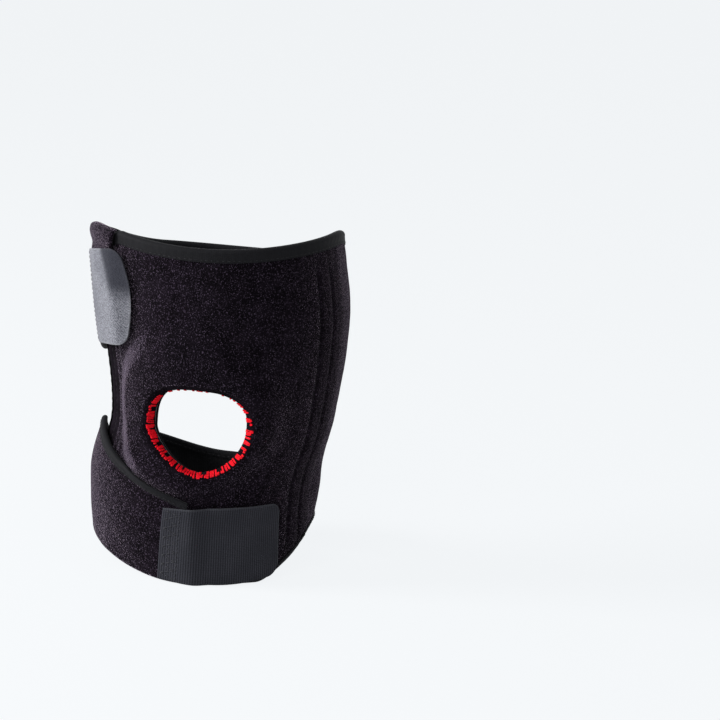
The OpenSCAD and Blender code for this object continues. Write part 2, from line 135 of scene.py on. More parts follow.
# The stays, their pockets and the channels that show on the outer face
STAY_W = 6.5
STAY_T = 1.4
STAY_FLOOR = -0.7
STAY_RISE = 1.1
STAY_FLAT = 0.55
STAY_FADE = 8
STAY_SHOW = 0.55
STAY_MIDDLES = (-61.40, 68)
STAY_HALF_A = 4.931
TURN_PITCH = 3.5
TURN_STEPS = 12
WIRE_R = 0.32
BAR_Z = (35.7, 158.8)
POCKET_Z = (17.7, 176.8)
GROOVE = 0.28
GROOVE_W = 0.8
WELT = 0.5
WELT_W = 1.8

# The soft laminate: how its edges are pinched and puckered under tape, and its unevenness
PINCH = 0.4
WING_PINCH = 0.2
PUCKER = 0.22
PUCKER_RUN = 1.15
LUMP = 0.22
LUMP_SPANS = (17, 5.5)
TENSION = 0.3

# The wings
WING_START = SEAM_A - 360
WING_SEAM_RUN = 14
WING_BEND_RUN = 17
WING_LIFT = 6.2
CLIMB_END = -83.9
SNUG = 0.8
SNUG_Z = (96, 110)
THIGH_WING_Z = 112.5
THIGH_WING_A = -46
THIGH_WING_LEAN = 2
LEAN_Z = (172, 184)
WING_TOP_GAP = 0.4
TOP_ROLL = 5.5
TOP_TUCK = 3
CREASE = 1.1
CREASE_Z = 174
CREASE_W = 3.5
UNDER_TAB = 2
CALF_WING_H = 77
CALF_END_H = 46
CALF_WING_RISE = 14.5
CALF_WING_A = 2
CALF_PEAK_A = -78
IN_TAPE = 1.6

# The tabs
TAB_ROOT = 9.1
TAB_SEAT = 5.1
STEP_LEAD = 1
STEP_RUN = 10
TAB_PRESS = 0.9
TAB_PRESS_RUN = 12
TIP_SHARE = 0.58
HOOK_MARGIN = 1.5
TAB_BEND_S = (6, 17)

# Tapes and threads. A tape's height is what shows on each face, and NARROW its least flat width.
# Bare places are degrees round the opening where the overlock leaves the wall bare.
TOP_TAPE_H = 7
HEM_TAPE_H = 3.5
EDGE_TAPE_H = 4
FREE_TAPE_H = 7.5
FREE_OUT = 0.7
TAPE_SEAM = 1.1
NARROW = 10.1
SEWING_R = 0.2
TAB_SEWING_R = 0.22
OVERLOCK_R = 0.35
OVERLOCK_STITCHES = 118
BARE_PLACES = range(165, 390, 25)
TAB_BAR_W = 8
TAB_BAR_S = (1.4, 9.9)

# The photo's camera, and the colour that the floor and sky show to it
CAMERA_TURN = (10.6, 12.99, 3.79)
CAMERA_AIM = (0, 0, 0.1)
CAMERA_DISTANCE = 1.55
CAMERA_SHIFT = (0.07662, 0.01525)
CAMERA_LENS = 140.9
LAMP_AIM = (0, 0, 0.09)
BACKDROP = (0.955, 0.98, 1.0, 1)


# Plain curves

def mix(a, b, t):
    return a + (b - a) * t


def ramp(value, start, end):
    """0 at the start, 1 at the end, smooth between. The start may be the higher one."""
    t = min(1.0, max(0.0, (value - start) / (end - start)))
    return t * t * (3 - 2 * t)


def hump(value, start, full, fade, end):
    return ramp(value, start, full) * ramp(value, end, fade)


def bell(distance, width):
    return math.exp(-(distance / width) ** 2)


def fall(radius, gap):
    """How far a quarter round has dropped at a gap from its end."""
    return radius - math.sqrt(radius ** 2 - (radius - gap) ** 2) if gap < radius else 0


def turn(length, radius):
    """Degrees that a length takes up round a radius."""
    return math.degrees(length / radius)


def spread(a, b, steps):
    return [mix(a, b, i / steps) for i in range(steps + 1)]


def edged(length, step, ends=(0, 0.2, 0.5, 0.9, 1.4, 2.2)):
    """Shares of a length, at even steps with close ones near both ends."""
    inner = spread(ends[-1], length - ends[-1], max(2, round((length - 2 * ends[-1]) / step)))
    return [d / length for d in (*ends[:-1], *inner, *(length - d for d in reversed(ends[:-1])))]


# The form and the edges of the panel, as in the solids

def along(values, z):
    """One of the form's measures at a height, on a smooth curve through its sections."""
    last = len(FORM_Z) - 1
    z = min(FORM_Z[last], max(0, z))
    i = max(k for k in range(last) if z >= FORM_Z[k])
    h = FORM_Z[i + 1] - FORM_Z[i]

    def slope(k):
        lo, hi = max(0, k - 1), min(last, k + 1)
        return (values[hi] - values[lo]) / (FORM_Z[hi] - FORM_Z[lo])

    t = (z - FORM_Z[i]) / h
    s = 1 - t
    return (values[i] * (1 + 2 * t) * s * s + slope(i) * h * t * s * s
            + values[i + 1] * t * t * (1 + 2 * s) - slope(i + 1) * h * t * t * s)


def skin(a, z, off):
    """The point at an angle and height, off millimetres out from the form, in metres."""
    turned = math.radians(a)
    off += FULL_CALF * bell(z - FULL_CALF_Z, FULL_CALF_SPREAD) * hump(a, *FULL_CALF_A)
    x = along(FORM_X, z) + (along(FORM_W, z) + off) * math.sin(turned)
    return Vector((x, -(along(FORM_D, z) + off) * math.cos(turned), z)) * MM


def behind(a):
    """0 at the front and 1 at the back, with a run of its own on each side."""
    if 0 < a < BACK_A:
        return ramp(a, *FAR_DROP_A)
    return ramp(360 - a if a > 0 else -a, *NEAR_DROP_A)


def top_z(a):
    return FRONT_H + TOP_RISE * math.sin(math.radians(a)) ** 2 - BACK_DROP * behind(a)


def rim_z(a):
    """The panel's top edge, which dips a little where the thigh wing covers it."""
    return top_z(a) - (RIM_DIP * ramp(a, *RIM_DIP_A) if a < 0 else 0)


def bottom_z(a):
    """The hem: level at the front, higher at the sides and most of all on the far one."""
    side = abs(math.sin(math.radians(a)))
    near = NEAR_RISE * side ** 2 if a < 0 else 0
    return max(SIDE_RISE * ramp(side, FLAT_SHARE, 1), near) + FAR_RISE * hump(a, *FAR_RISE_A)


def notch_open(a):
    return ramp(a, NOTCH_A, NOTCH_A + NOTCH_RUN)


def thigh_low(a):
    strap = mix(FRONT_H - BACK_DROP - THIGH_STRAP_H, THIGH_WING_Z, ramp(a, BACK_A, SEAM_A))
    return mix(KNEE_Z, strap, notch_open(a))


def calf_high(a):
    strap = mix(CALF_STRAP_H, CALF_SEAM_H, ramp(a, BACK_A, SEAM_A))
    return mix(KNEE_Z, strap, notch_open(a))


# The kneecap opening, its ring pad, and the stays' channels

FRONT_R = FORM_D[2] + PANEL_T + RING_T
HOLE_HALF_A = turn(HOLE_W / 2, FRONT_R)
HOLE_ENDS_A = (HOLE_A - HOLE_HALF_A, HOLE_A + HOLE_HALF_A)
RING_HALF_A = turn(RING_W / 2, FRONT_R)
SWELL_HALF_A = turn(SWELL_W / 2, FRONT_R)
STAY_ANGLES = [middle + k * STAY_HALF_A for middle in STAY_MIDDLES for k in (-1, 1)]
CHANNEL_LINES = [middle + k * STAY_HALF_A for middle in STAY_MIDDLES for k in (-2, 0, 2)]
WELT_A = CHANNEL_LINES[2] + 2


def hole_top(u):
    return HOLE_H / 2 * max(0, 1 - abs(u) ** HOLE_POWER) ** (1 / HOLE_POWER)


def hole_bottom(u):
    u -= HOLE_SKEW * (1 - u * u)
    power = HOLE_TAPER if u < 0 else 2
    return HOLE_LOW * max(0, 1 - abs(u) ** power) ** (1 / power)


def hole_edge(t, grow):
    """Angle and height on the opening's rim at t degrees round it, grown by some millimetres."""
    u, upper = math.cos(math.radians(t)), math.sin(math.radians(t)) >= 0
    rise = hole_top(u) if upper else -hole_bottom(u)
    return HOLE_A + HOLE_HALF_A * u * (1 + 2 * grow / HOLE_W), KNEE_Z + rise * (1 + 2 * grow / HOLE_H)


def ring_edge(t, share):
    turned = math.radians(t)
    a = HOLE_A + RING_HALF_A * share * math.cos(turned)
    return a, RING_Z + RING_H / 2 * share * math.sin(turned)


def pad_lift(a, z, half_a, height, slope):
    reach = math.hypot((a - HOLE_A) / half_a, (z - RING_Z) / (height / 2))
    return RING_T * ramp(1 - reach, 0, slope)


def pad_bed(a, z):
    """How far the ring pad lifts the panel's inner face."""
    return pad_lift(a, z, RING_HALF_A, RING_H, RING_SLOPE)


def ring_bulge(a, z):
    """How far the ring pad lifts the outer face: fuller than its bed, and steepest on the near side."""
    slope = mix(SWELL_SLOPE, RING_SLOPE, ramp(a, HOLE_A, HOLE_A + SWELL_RUN))
    return pad_lift(a, z, SWELL_HALF_A, SWELL_H, slope)


def in_pocket(z):
    return ramp(min(z - POCKET_Z[0], POCKET_Z[1] - z), 0, STAY_FADE)


def stay_bump(a, z):
    near = min(abs(a - s) for s in STAY_ANGLES) / STAY_HALF_A
    return STAY_RISE * ramp(1 - near, 0, 1 - STAY_FLAT) * in_pocket(z)


def panel_off(a, z):
    return max(pad_bed(a, z), stay_bump(a, z))


HALF_DEGREES = [i / 2 for i in range(720)]
RIM = np.array([
    (math.radians(a - HOLE_A) * FRONT_R, z - KNEE_Z)
    for a, z in (hole_edge(t, 0) for t in HALF_DEGREES)
])


def rim_gap(a, z):
    """Millimetres along the panel from a point to the rim of the kneecap opening."""
    x, y = math.radians(a - HOLE_A) * FRONT_R, z - KNEE_Z
    if abs(x) > HOLE_W or abs(y) > HOLE_H:
        return HOLE_W
    return float(np.sqrt(((RIM - (x, y)) ** 2).sum(1).min()))


# The hollow behind the knee has one rounded outline, along the thigh strap and back along the calf strap

def rounded_outline(steps=110, passes=24, points=260):
    apex_a, strap_a = NOTCH_APEX_A
    upper = [(math.radians(a) * BACK_R, thigh_low(a)) for a in spread(SEAM_A, strap_a, steps)]
    lower = [(math.radians(a) * BACK_R, calf_high(a)) for a in spread(strap_a, SEAM_A, steps)]
    apex = (math.radians(apex_a) * BACK_R, KNEE_Z)
    line = np.array([*upper, apex, *lower])
    for _ in range(passes):
        middle = (line[:-2] + line[2:]) / 2
        near = np.exp(-((line[1:-1, 0] - apex[0]) / NOTCH_ROUNDING) ** 2)[:, None]
        line[1:-1] = line[1:-1] * (1 - near) + middle * near
    run = np.r_[0, np.cumsum(np.hypot(*np.diff(line, axis=0).T))]
    even = np.linspace(0, run[-1], points)
    return np.c_[np.interp(even, run, line[:, 0]), np.interp(even, run, line[:, 1])]


NOTCH = rounded_outline()


def notch_gap(a, z):
    """Millimetres along the panel from a point to the outline behind the knee."""
    if a < NOTCH_A - NOTCH_REACH:
        return BACK_R
    return float(np.sqrt(((NOTCH - (math.radians(a) * BACK_R, z)) ** 2).sum(1).min()))


def notch_edge(a, side, inset):
    """Height of the panel's edge behind the knee, inset from the outline above it, side 1, or below, -1."""
    x = math.radians(a) * BACK_R
    near = NOTCH[np.abs(NOTCH[:, 0] - x) <= inset]
    near = near[(near[:, 1] - KNEE_Z) * side >= -0.01]
    if not len(near):
        return KNEE_Z
    reach = np.sqrt(np.maximum(0, inset ** 2 - (near[:, 0] - x) ** 2))
    return KNEE_Z + side * max(0, float(((near[:, 1] - KNEE_Z) * side + reach).max()))


# The wings and the tabs

def snug(z):
    """The thigh wing is pulled closer to the panel than the calf wing."""
    return SNUG * ramp(z, *SNUG_Z)


def wing_off(a, z):
    lift = (WING_LIFT - snug(z)) * ramp(a, WING_START, CLIMB_END)
    return lift + max(0, ring_bulge(a, z) - STAY_RISE)


def wing_mid(a, z):
    """Middle of a wing's thickness. It meets the panel's middle at the seam and rolls in at the top."""
    free = ramp(a, WING_START, WING_START + WING_SEAM_RUN)
    roll = min(1, max(0, (z - thigh_wing_top(a) + TOP_ROLL) / TOP_ROLL))
    drawn = CREASE * bell(z - CREASE_Z, CREASE_W) + TOP_TUCK * (1 - math.sqrt(1 - roll * roll * 0.98))
    return wing_off(a, z) + WING_T / 2 + (PANEL_T - WING_T) / 2 * (1 - free) - drawn * free


def thigh_wing_end(v):
    z = mix(THIGH_WING_Z, top_z(THIGH_WING_A), v)
    return THIGH_WING_A + THIGH_WING_LEAN * ramp(z, *LEAN_Z)


def thigh_wing_low(a):
    """The thigh wing's lower edge runs up behind the tab towards its end."""
    past_root = a - THIGH_TAB.root
    tab_low = THIGH_TAB.low + THIGH_TAB.climb * past_root / (THIGH_TAB.tip - THIGH_TAB.root)
    return mix(THIGH_WING_Z, tab_low + UNDER_TAB, ramp(past_root, -1, 19))


def thigh_wing_top(a):
    return top_z(a) - WING_TOP_GAP


def calf_wing_low(a):
    return SEWN_GAP + CALF_WING_RISE * math.sin(math.radians(a)) ** 2


def calf_wing_high(a):
    if a < CALF_PEAK_A:
        return mix(CALF_SEAM_H, CALF_WING_H, ramp(a, WING_START, CALF_PEAK_A) ** 2)
    return mix(CALF_WING_H, CALF_END_H, (a - CALF_PEAK_A) / -CALF_PEAK_A)


def tab_off(a, z, wing_a):
    step = ramp(a, wing_a + STEP_LEAD, wing_a + STEP_LEAD + STEP_RUN)
    return mix(TAB_ROOT - snug(z), TAB_SEAT, step) + max(0, ring_bulge(a, z) - TAPE_T - SEWN_GAP)


class Tab:
    """A hook tab: s runs in millimetres from its sewn edge, v from its lower edge to its upper one.

    Its sewn edge is at the angle root, and it ends past millimetres beyond its wing's end on a radius.
    Its lower edge starts at low, climbs towards the tip and dips between. low_r and top_r round its
    corners, lean turns the sewn edge, tuck draws the tip's corners back, and flare lowers the upper
    edge at the root."""

    def __init__(self, root, wing_a, past, radius, height, low, climb, low_r, top_r,
                 lean=0, dip=0, tuck=0, flare=0):
        self.root, self.wing_a, self.height = root, wing_a, height
        self.low, self.climb, self.dip = low, climb, dip
        self.low_r, self.top_r = low_r, top_r
        self.lean, self.tuck, self.flare = lean, tuck, flare
        self.lap = math.radians(wing_a - root) * radius
        self.length = self.lap + past
        self.tip = wing_a + turn(past, radius)

    def spot(self, s, v):
        share, left = s / self.length, max(0, self.length - s)
        base = self.low + self.climb * share
        low = base - self.dip * math.sin(math.pi * min(1, share)) + fall(self.low_r, left)
        top = base + self.height - fall(self.top_r, left) - self.flare * (1 - share)
        from_tip = (v - TIP_SHARE) / (1 - TIP_SHARE if v > TIP_SHARE else TIP_SHARE)
        a = mix(self.root + self.lean * v, self.tip - self.tuck * from_tip ** 2, share)
        return a, mix(low, top, v)

    def level(self, s, v):
        """Offset of the tab's under face, where the hook tape is. At its sewn edge it lies close."""
        pressed = 1 - ramp(s, self.lap - TAB_PRESS_RUN, self.lap)
        return tab_off(*self.spot(s, v), self.wing_a) - TAB_PRESS * pressed


THIGH_TAB = Tab(root=-86, wing_a=THIGH_WING_A, past=12.9, radius=FORM_W[3] + TAB_SEAT, height=52.3,
                low=116.9, climb=9.5, low_r=8, top_r=9, tuck=2.5, flare=1.6)
CALF_TAB = Tab(root=-14, wing_a=CALF_WING_A, past=51.5, radius=FORM_W[1] + TAB_SEAT, height=40,
               low=2, climb=3, low_r=7, top_r=6, lean=4, dip=3.2)


# Finishes

class Socket:
    """A node's output in a finish. Arithmetic on it adds Math nodes."""

    def __init__(self, finish, out):
        self.finish, self.out = finish, out

    def sibling(self, name):
        """Another output of the same node."""
        return Socket(self.finish, self.out.node.outputs[name])

    def math(self, operation, *values):
        return self.finish.node("ShaderNodeMath", {"operation": operation}, dict(enumerate(values)))

    def __add__(self, other):
        return self.math("ADD", self, other)

    def __sub__(self, other):
        return self.math("SUBTRACT", self, other)

    def __rsub__(self, other):
        return self.math("SUBTRACT", other, self)

    def __mul__(self, other):
        return self.math("MULTIPLY", self, other)

    def __truediv__(self, other):
        return self.math("DIVIDE", self, other)

    __radd__, __rmul__ = __add__, __mul__

    def least(self, other):
        return self.math("MINIMUM", self, other)

    def most(self, other):
        return self.math("MAXIMUM", self, other)

    def waves(self, pitch, shift=0):
        """A sine wave with a pitch in metres, shifted by radians."""
        return self.math("SINE", self * (math.tau / pitch) + shift)

    def rise(self, low, high):
        """0 below low, 1 above high, smooth between."""
        return self.finish.node(
            "ShaderNodeMapRange", {"interpolation_type": "SMOOTHSTEP"},
            {"Value": self, "From Min": low, "From Max": high},
        )


class Finish:
    """The nodes of one material or of the world, built node by node."""

    def __init__(self, owner):
        self.owner = owner
        owner.use_nodes = True
        self.tree = owner.node_tree
        self.tree.nodes.clear()

    def node(self, kind, settings, sockets, output=0):
        made = self.tree.nodes.new(kind)
        for key, value in settings.items():
            setattr(made, key, value)
        for key, value in sockets.items():
            if isinstance(value, Socket):
                self.tree.links.new(value.out, made.inputs[key])
            else:
                made.inputs[key].default_value = value
        return Socket(self, made.outputs[output]) if made.outputs else None

    def place(self):
        return self.node("ShaderNodeTexCoord", {}, {}, "Object")

    def weave(self):
        """Metres along and across the flat cloth."""
        flat = self.node("ShaderNodeUVMap", {"uv_map": "weave"}, {})
        split = self.node("ShaderNodeSeparateXYZ", {}, {0: flat})
        return split, split.sibling("Y")

    def grain(self, where, scale, detail=2.0, rough=0.55):
        sockets = {"Vector": where, "Scale": scale, "Detail": detail, "Roughness": rough}
        return self.node("ShaderNodeTexNoise", {}, sockets)

    def cells(self, where, scale):
        return self.node("ShaderNodeTexVoronoi", {}, {"Vector": where, "Scale": scale}, "Distance")

    def tint(self, mask, low, high):
        """A colour between two, given as linear values."""
        low, high = (c if isinstance(c, Socket) else (*c, 1) for c in (low, high))
        return self.node("ShaderNodeMix", {"data_type": "RGBA"}, {0: mask, 6: low, 7: high}, 2)

    def bump(self, height, depth, strength):
        sockets = {"Height": height, "Distance": depth * MM, "Strength": strength}
        return self.node("ShaderNodeBump", {}, sockets)

    def seen(self):
        """1 for rays that show the backdrop: from the camera, in gloss, or through glass."""
        camera = self.node("ShaderNodeLightPath", {}, {}, "Is Camera Ray")
        return camera.most(camera.sibling("Is Glossy Ray")).most(camera.sibling("Is Transmission Ray"))

    def shader(self, **sockets):
        """A Principled shader, with its sockets' names in small letters."""
        named = {}
        for key, value in sockets.items():
            named[key.replace("_", " ").title().replace("Ior", "IOR")] = value
        return self.node("ShaderNodeBsdfPrincipled", {}, named)

    def blended(self, mask, low, high):
        return self.node("ShaderNodeMixShader", {}, {0: mask, 1: low, 2: high})

    def close(self, shader, output="ShaderNodeOutputMaterial"):
        self.node(output, {}, {"Surface": shader})
        return self.owner

    def surface(self, **sockets):
        return self.close(self.shader(**sockets))


def finish(name):
    return Finish(bpy.data.materials.new(name))


def plush_finish(name, flecks, sheen, deep):
    """Black loop pile: tips of fibre that catch the light, over a dark bed with a deep share of that."""
    f = finish(name)
    place = f.place()
    tufts = f.cells(place, 1350.0)
    fuzz = f.grain(place, 1250.0, 2.0, 0.6)
    matted = f.grain(place, 110.0, 3.0)
    loops = fuzz * 0.72 + (1 - tufts) * 0.28
    body = f.tint(matted.rise(0.35, 0.7), (0.0034, 0.0024, 0.0037), (0.0084, 0.0059, 0.0094))
    fibre = f.tint(loops.rise(0.51, 0.73) * flecks, body, (0.088, 0.065, 0.101))
    height = (1 - tufts) * 0.6 + fuzz * 0.8 + matted * 0.3
    pile = {"roughness": 0.95, "specular_ior_level": 0.03, "sheen_roughness": 0.27}
    pile["normal"] = f.bump(height, 0.75, 0.9)
    bed = f.shader(base_color=body, sheen_weight=deep * sheen, sheen_tint=(0.80, 0.65, 0.90, 1), **pile)
    bright = min(1, 1.28 * sheen)
    tips = f.shader(base_color=fibre, sheen_weight=bright, sheen_tint=(1, 0.83, 1, 1), **pile)
    return f.close(f.blended(loops.rise(0.41, 0.65), bed, tips))


def lining_finish():
    """Smooth knit on the inner side: fine wales with a little wear."""
    f = finish("charcoal_lining_knit")
    across, up = f.weave()
    wale = across.waves(0.0011)
    course = up.waves(0.0008, wale * 0.9)
    wear_and_painted_light = f.grain(f.place(), 60.0, 4.0)
    knit = (wale * 0.5 + course * 0.35) * 0.5 + 0.5
    body = f.tint(wear_and_painted_light.rise(0.35, 0.7), (0.012, 0.012, 0.0135), (0.022, 0.022, 0.025))
    colour = f.tint(knit, f.tint(wear_and_painted_light, (0.006, 0.006, 0.007), (0.010, 0.010, 0.011)), body)
    return f.surface(base_color=colour, roughness=0.85, normal=f.bump(knit, 0.18, 0.7),
                     sheen_weight=0.06, sheen_roughness=0.5, specular_ior_level=0.06)


def binding_finish():
    """Smooth folded stretch tape with a fine lengthways rib."""
    f = finish("charcoal_stretch_tape")
    along_tape, across = f.weave()
    rib = across.waves(0.0007)
    tick = along_tape.waves(0.0009)
    dust = f.grain(f.place(), 220.0, 4.0, 0.65)
    thread = (rib * 0.6 + tick * 0.4) * 0.5 + 0.5
    colour = f.tint(thread * 0.6 + dust * 0.5, (0.0050, 0.0050, 0.0060), (0.0145, 0.0145, 0.0168))
    return f.surface(base_color=colour, roughness=0.66, normal=f.bump(thread, 0.10, 0.7),
                     sheen_weight=0.04, sheen_roughness=0.35, specular_ior_level=0.08)


def grey_webbing_finish():
    """Grey twill: fine diagonal wales of flecked yarn, a pale selvage and painted shade darkening its upper
    far end.
    """
    f = finish("grey_twill_webbing")
    along_tab, up = f.weave()
    length, height = THIGH_TAB.length * MM, THIGH_TAB.height * MM
    place = f.place()
    yarn = f.grain(place, 1300.0, 2.0, 0.6)
    slub = f.grain(place, 420.0, 2.0, 0.6)
    wale = (along_tab + up).waves(0.0017, slub * 5)
    pick = (along_tab - up).waves(0.0012)
    cloth = (wale * 0.4 + pick * 0.2) * 0.5 + yarn.rise(0.34, 0.66) * 0.8 + 0.1
    edge = up.least(height - up).least(length - along_tab)
    selvage = 1 - edge.rise(0.0004, 0.0014)
    handled = f.grain(place, 45.0, 4.0, 0.6).rise(0.40, 0.75)
    risen = up / height
    # Painted shade: the far end is darkened, most of all near the upper edge, and the selvage dims with it
    far_end = (along_tab / length + risen * 0.16).rise(0.80, 0.93)
    painted_shade = (risen.rise(0.42, 0.66) * 0.68 + 0.32) * far_end
    clean = f.tint(handled, (0.315, 0.32, 0.358), (0.20, 0.204, 0.238))
    pale = f.tint(painted_shade, clean, (0.040, 0.041, 0.054))
    dark = f.tint(painted_shade, (0.082, 0.084, 0.100), (0.022, 0.023, 0.031))
    rim = selvage * (1 - painted_shade * 0.9) * 0.35
    colour = f.tint(rim, f.tint(cloth, dark, pale), (0.30, 0.305, 0.325))
    return f.surface(base_color=colour, roughness=0.8, normal=f.bump(cloth + selvage * 0.5, 0.16, 0.8),
                     sheen_weight=0.08, sheen_roughness=0.4, specular_ior_level=0.12)


def charcoal_webbing_finish():
    """Charcoal webbing: upright ribs of tight thread, a paler selvage at the end and the upper edge."""
    f = finish("charcoal_ribbed_webbing")
    along_tab, up = f.weave()
    place = f.place()
    rib = along_tab.waves(0.0013)
    pick = up.waves(0.0009, rib * 0.8)
    yarn = f.grain(place, 1600.0, 2.0, 0.6)
    cloth = (rib * 0.7 + pick * 0.25) * 0.5 + 0.25 + yarn * 0.5
    edge = (CALF_TAB.height * MM - up).least(CALF_TAB.length * MM - along_tab)
    selvage = 1 - edge.rise(0.0004, 0.0012)
    wear_and_painted_light = f.grain(place, 70.0, 4.0, 0.6).rise(0.35, 0.75)
    pale = f.tint(wear_and_painted_light, (0.045, 0.046, 0.058), (0.062, 0.062, 0.077))
    woven = f.tint(cloth, (0.0115, 0.0120, 0.0150), pale)
    colour = f.tint(selvage * 0.6, woven, (0.062, 0.064, 0.075))
    return f.surface(base_color=colour, roughness=0.74, normal=f.bump(cloth + selvage * 0.4, 0.13, 0.8),
                     sheen_weight=0.05, sheen_roughness=0.4, specular_ior_level=0.10)


def hook_finish():
    """Hook tape: rows of stiff little hooks on a black base."""
    f = finish("black_hook_tape")
    along_tab, up = f.weave()
    rows = along_tab.waves(0.0012) * up.waves(0.0009)
    hooks = (rows * 0.5 + 0.5).rise(0.45, 0.8)
    dust = f.grain(f.place(), 400.0, 3.0)
    colour = f.tint(hooks * 0.8 + dust * 0.2, (0.005, 0.005, 0.006), (0.028, 0.028, 0.031))
    return f.surface(base_color=colour, roughness=0.55, normal=f.bump(hooks, 0.4, 1.0),
                     specular_ior_level=0.3)


def foam_finish():
    """Open-celled foam of the ring pad."""
    f = finish("grey_pad_foam")
    place = f.place()
    cells = f.cells(place, 900.0)
    patchy = f.grain(place, 80.0, 3.0)
    shade = cells.rise(0.1, 0.6) * 0.7 + patchy * 0.3
    colour = f.tint(shade, (0.045, 0.045, 0.05), (0.17, 0.17, 0.18))
    return f.surface(base_color=colour, roughness=0.95, normal=f.bump(cells, 0.5, 0.8))


def thread_finish(name, dark, pale):
    """Twisted sewing thread."""
    f = finish(name)
    place = f.place()
    ply = f.grain(place, 1900.0, 2.0, 0.6)
    lot = f.grain(place, 130.0, 2.0)
    colour = f.tint(ply.rise(0.35, 0.7) * 0.7 + lot * 0.3, dark, pale)
    return f.surface(base_color=colour, roughness=0.6, normal=f.bump(ply, 0.12, 0.8),
                     specular_ior_level=0.15)


def steel_finish():
    """Drawn spring wire with faint draw marks."""
    f = finish("spring_steel_wire")
    place = f.place()
    marks = f.grain(place, 1600.0, 2.0)
    haze = f.grain(place, 90.0, 3.0)
    colour = f.tint(marks * 0.5 + haze * 0.5, (0.42, 0.42, 0.43), (0.66, 0.66, 0.67))
    return f.surface(base_color=colour, metallic=1.0, roughness=haze * 0.2 + 0.24,
                     normal=f.bump(marks, 0.05, 0.4))


def tip_finish():
    """Dipped plastic on the stays' ends."""
    f = finish("dipped_tip_plastic")
    place = f.place()
    orange_peel = f.grain(place, 700.0, 2.0)
    haze = f.grain(place, 120.0, 3.0)
    colour = f.tint(haze.rise(0.3, 0.7), (0.035, 0.035, 0.038), (0.07, 0.07, 0.075))
    return f.surface(base_color=colour, roughness=haze * 0.2 + 0.4, normal=f.bump(orange_peel, 0.1, 0.5))


PLUSH = plush_finish("black_loop_plush", flecks=1.0, sheen=0.78, deep=0.36)
# Darker copy with less sheen for the far side's stays' channels: pile pressed flat by the stitching, and
# painted shade on the side the lamps barely reach
PRESSED_PAINTED_SHADE = plush_finish("black_pressed_plush_painted_shade", flecks=0.75, sheen=0.36, deep=0.3)
# A darker copy of the plush without sheen, on the near side by the free edge and round the opening
DARK_PLUSH = plush_finish("black_dark_plush", flecks=0.25, sheen=0.0, deep=0.0)
# A brighter copy of the plush, with more pale flecks and sheen: a painted highlight on the swelling's near
# slope, where the key lamp grazes
PAINTED_HIGHLIGHT = plush_finish("black_plush_painted_highlight", flecks=2.0, sheen=0.98, deep=0.75)
LINING = lining_finish()
BINDING = binding_finish()
GREY_WEBBING = grey_webbing_finish()
CHARCOAL_WEBBING = charcoal_webbing_finish()
HOOKS = hook_finish()
FOAM = foam_finish()
STEEL = steel_finish()
TIP = tip_finish()
BLACK_THREAD = thread_finish("black_sewing_thread", (0.006, 0.006, 0.007), (0.030, 0.029, 0.033))
GREY_THREAD = thread_finish("grey_sewing_thread", (0.13, 0.13, 0.14), (0.33, 0.33, 0.35))
CHARCOAL_THREAD = thread_finish("charcoal_sewing_thread", (0.020, 0.020, 0.024), (0.075, 0.075, 0.085))
RED_THREAD = thread_finish("red_overlock_thread", (0.80, 0.002, 0.010), (1.0, 0.006, 0.026))


# Makers

def piece(name, mesh, *finishes):
    obj = bpy.data.objects.new(name, mesh)
    bpy.context.scene.collection.objects.link(obj)
    for material in finishes:
        mesh.materials.append(material)
    return obj


def shell(name, patches, *finishes):
    """A closed sheet from patches of (columns, rows, place, weave), welded where they meet.

    place(c, r, side) is a point on the inner face, side 0, or the outer one, side 1. weave(c, r) is its
    spot on the flat cloth in millimetres. A second finish is for the inner face."""
    bm = bmesh.new()
    spot = bm.verts.layers.float_vector.new("spot")
    uv = bm.loops.layers.uv.new("weave")
    for p, (cols, rows, place, weave) in enumerate(patches):
        wide, high = len(cols) - 1, len(rows) - 1
        grid = bmesh.ops.create_grid(bm, x_segments=wide, y_segments=high, size=0.5)["verts"]
        for v in grid:
            v[spot] = (p, round((v.co.x + 0.5) * wide), round((v.co.y + 0.5) * high))
        for f in {f for v in grid for f in v.link_faces}:
            for corner in f.loops:
                _, c, r = (int(k) for k in corner.vert[spot])
                corner[uv].uv = Vector(weave(cols[c], rows[r])) * MM
        for v in grid:
            _, c, r = (int(k) for k in v[spot])
            v.co = place(cols[c], rows[r], 0)
    bmesh.ops.remove_doubles(bm, verts=bm.verts, dist=1e-7)
    inner = bm.faces[:]
    made = bmesh.ops.extrude_face_region(bm, geom=inner, use_keep_orig=True)["geom"]
    for v in (v for v in made if isinstance(v, bmesh.types.BMVert)):
        p, c, r = (int(k) for k in v[spot])
        cols, rows, place, _ = patches[p]
        v.co = place(cols[c], rows[r], 1)
    for f in inner:
        f.material_index = 1 if len(finishes) > 1 else 0
    for f in bm.faces:
        f.smooth = True
    bmesh.ops.recalc_face_normals(bm, faces=bm.faces)
    mesh = bpy.data.meshes.new(name)
    bm.to_mesh(mesh)
    bm.free()
    mesh.set_sharp_from_angle(angle=math.radians(70))
    return piece(name, mesh, *finishes)


def threads(name, lines, radius, material, sides=0):
    """Tubes of thread or wire along lines of points, with a radius in millimetres."""
    curve = bpy.data.curves.new(name, "CURVE")
    curve.dimensions = "3D"
    curve.bevel_depth = radius * MM
    curve.bevel_resolution = sides
    curve.use_fill_caps = True
    for line in lines:
        spline = curve.splines.new("POLY")
        spline.points.add(len(line) - 1)
        for point, co in zip(spline.points, line):
            point.co = (*co, 1)
    form = bpy.data.objects.new(name + "_form", curve)
    mesh = bpy.data.meshes.new_from_object(form)
    bpy.data.objects.remove(form)
    bpy.data.curves.remove(curve)
    mesh.materials.clear()
    mesh.name = name
    return piece(name, mesh, material)


def on_face(a, z, off, side=1):
    """A point off the form, and the way out of the cloth there: outwards for side 1, inwards for -1."""
    point = skin(a, z, off)
    return point, (skin(a, z, off + side) - point).normalized()


def sewn_line(spots, level, side=1):
    """Points and ways out along spots of angle and height, on the face whose offset is level(a, z)."""
    return [on_face(a, z, level(a, z), side) for a, z in spots]


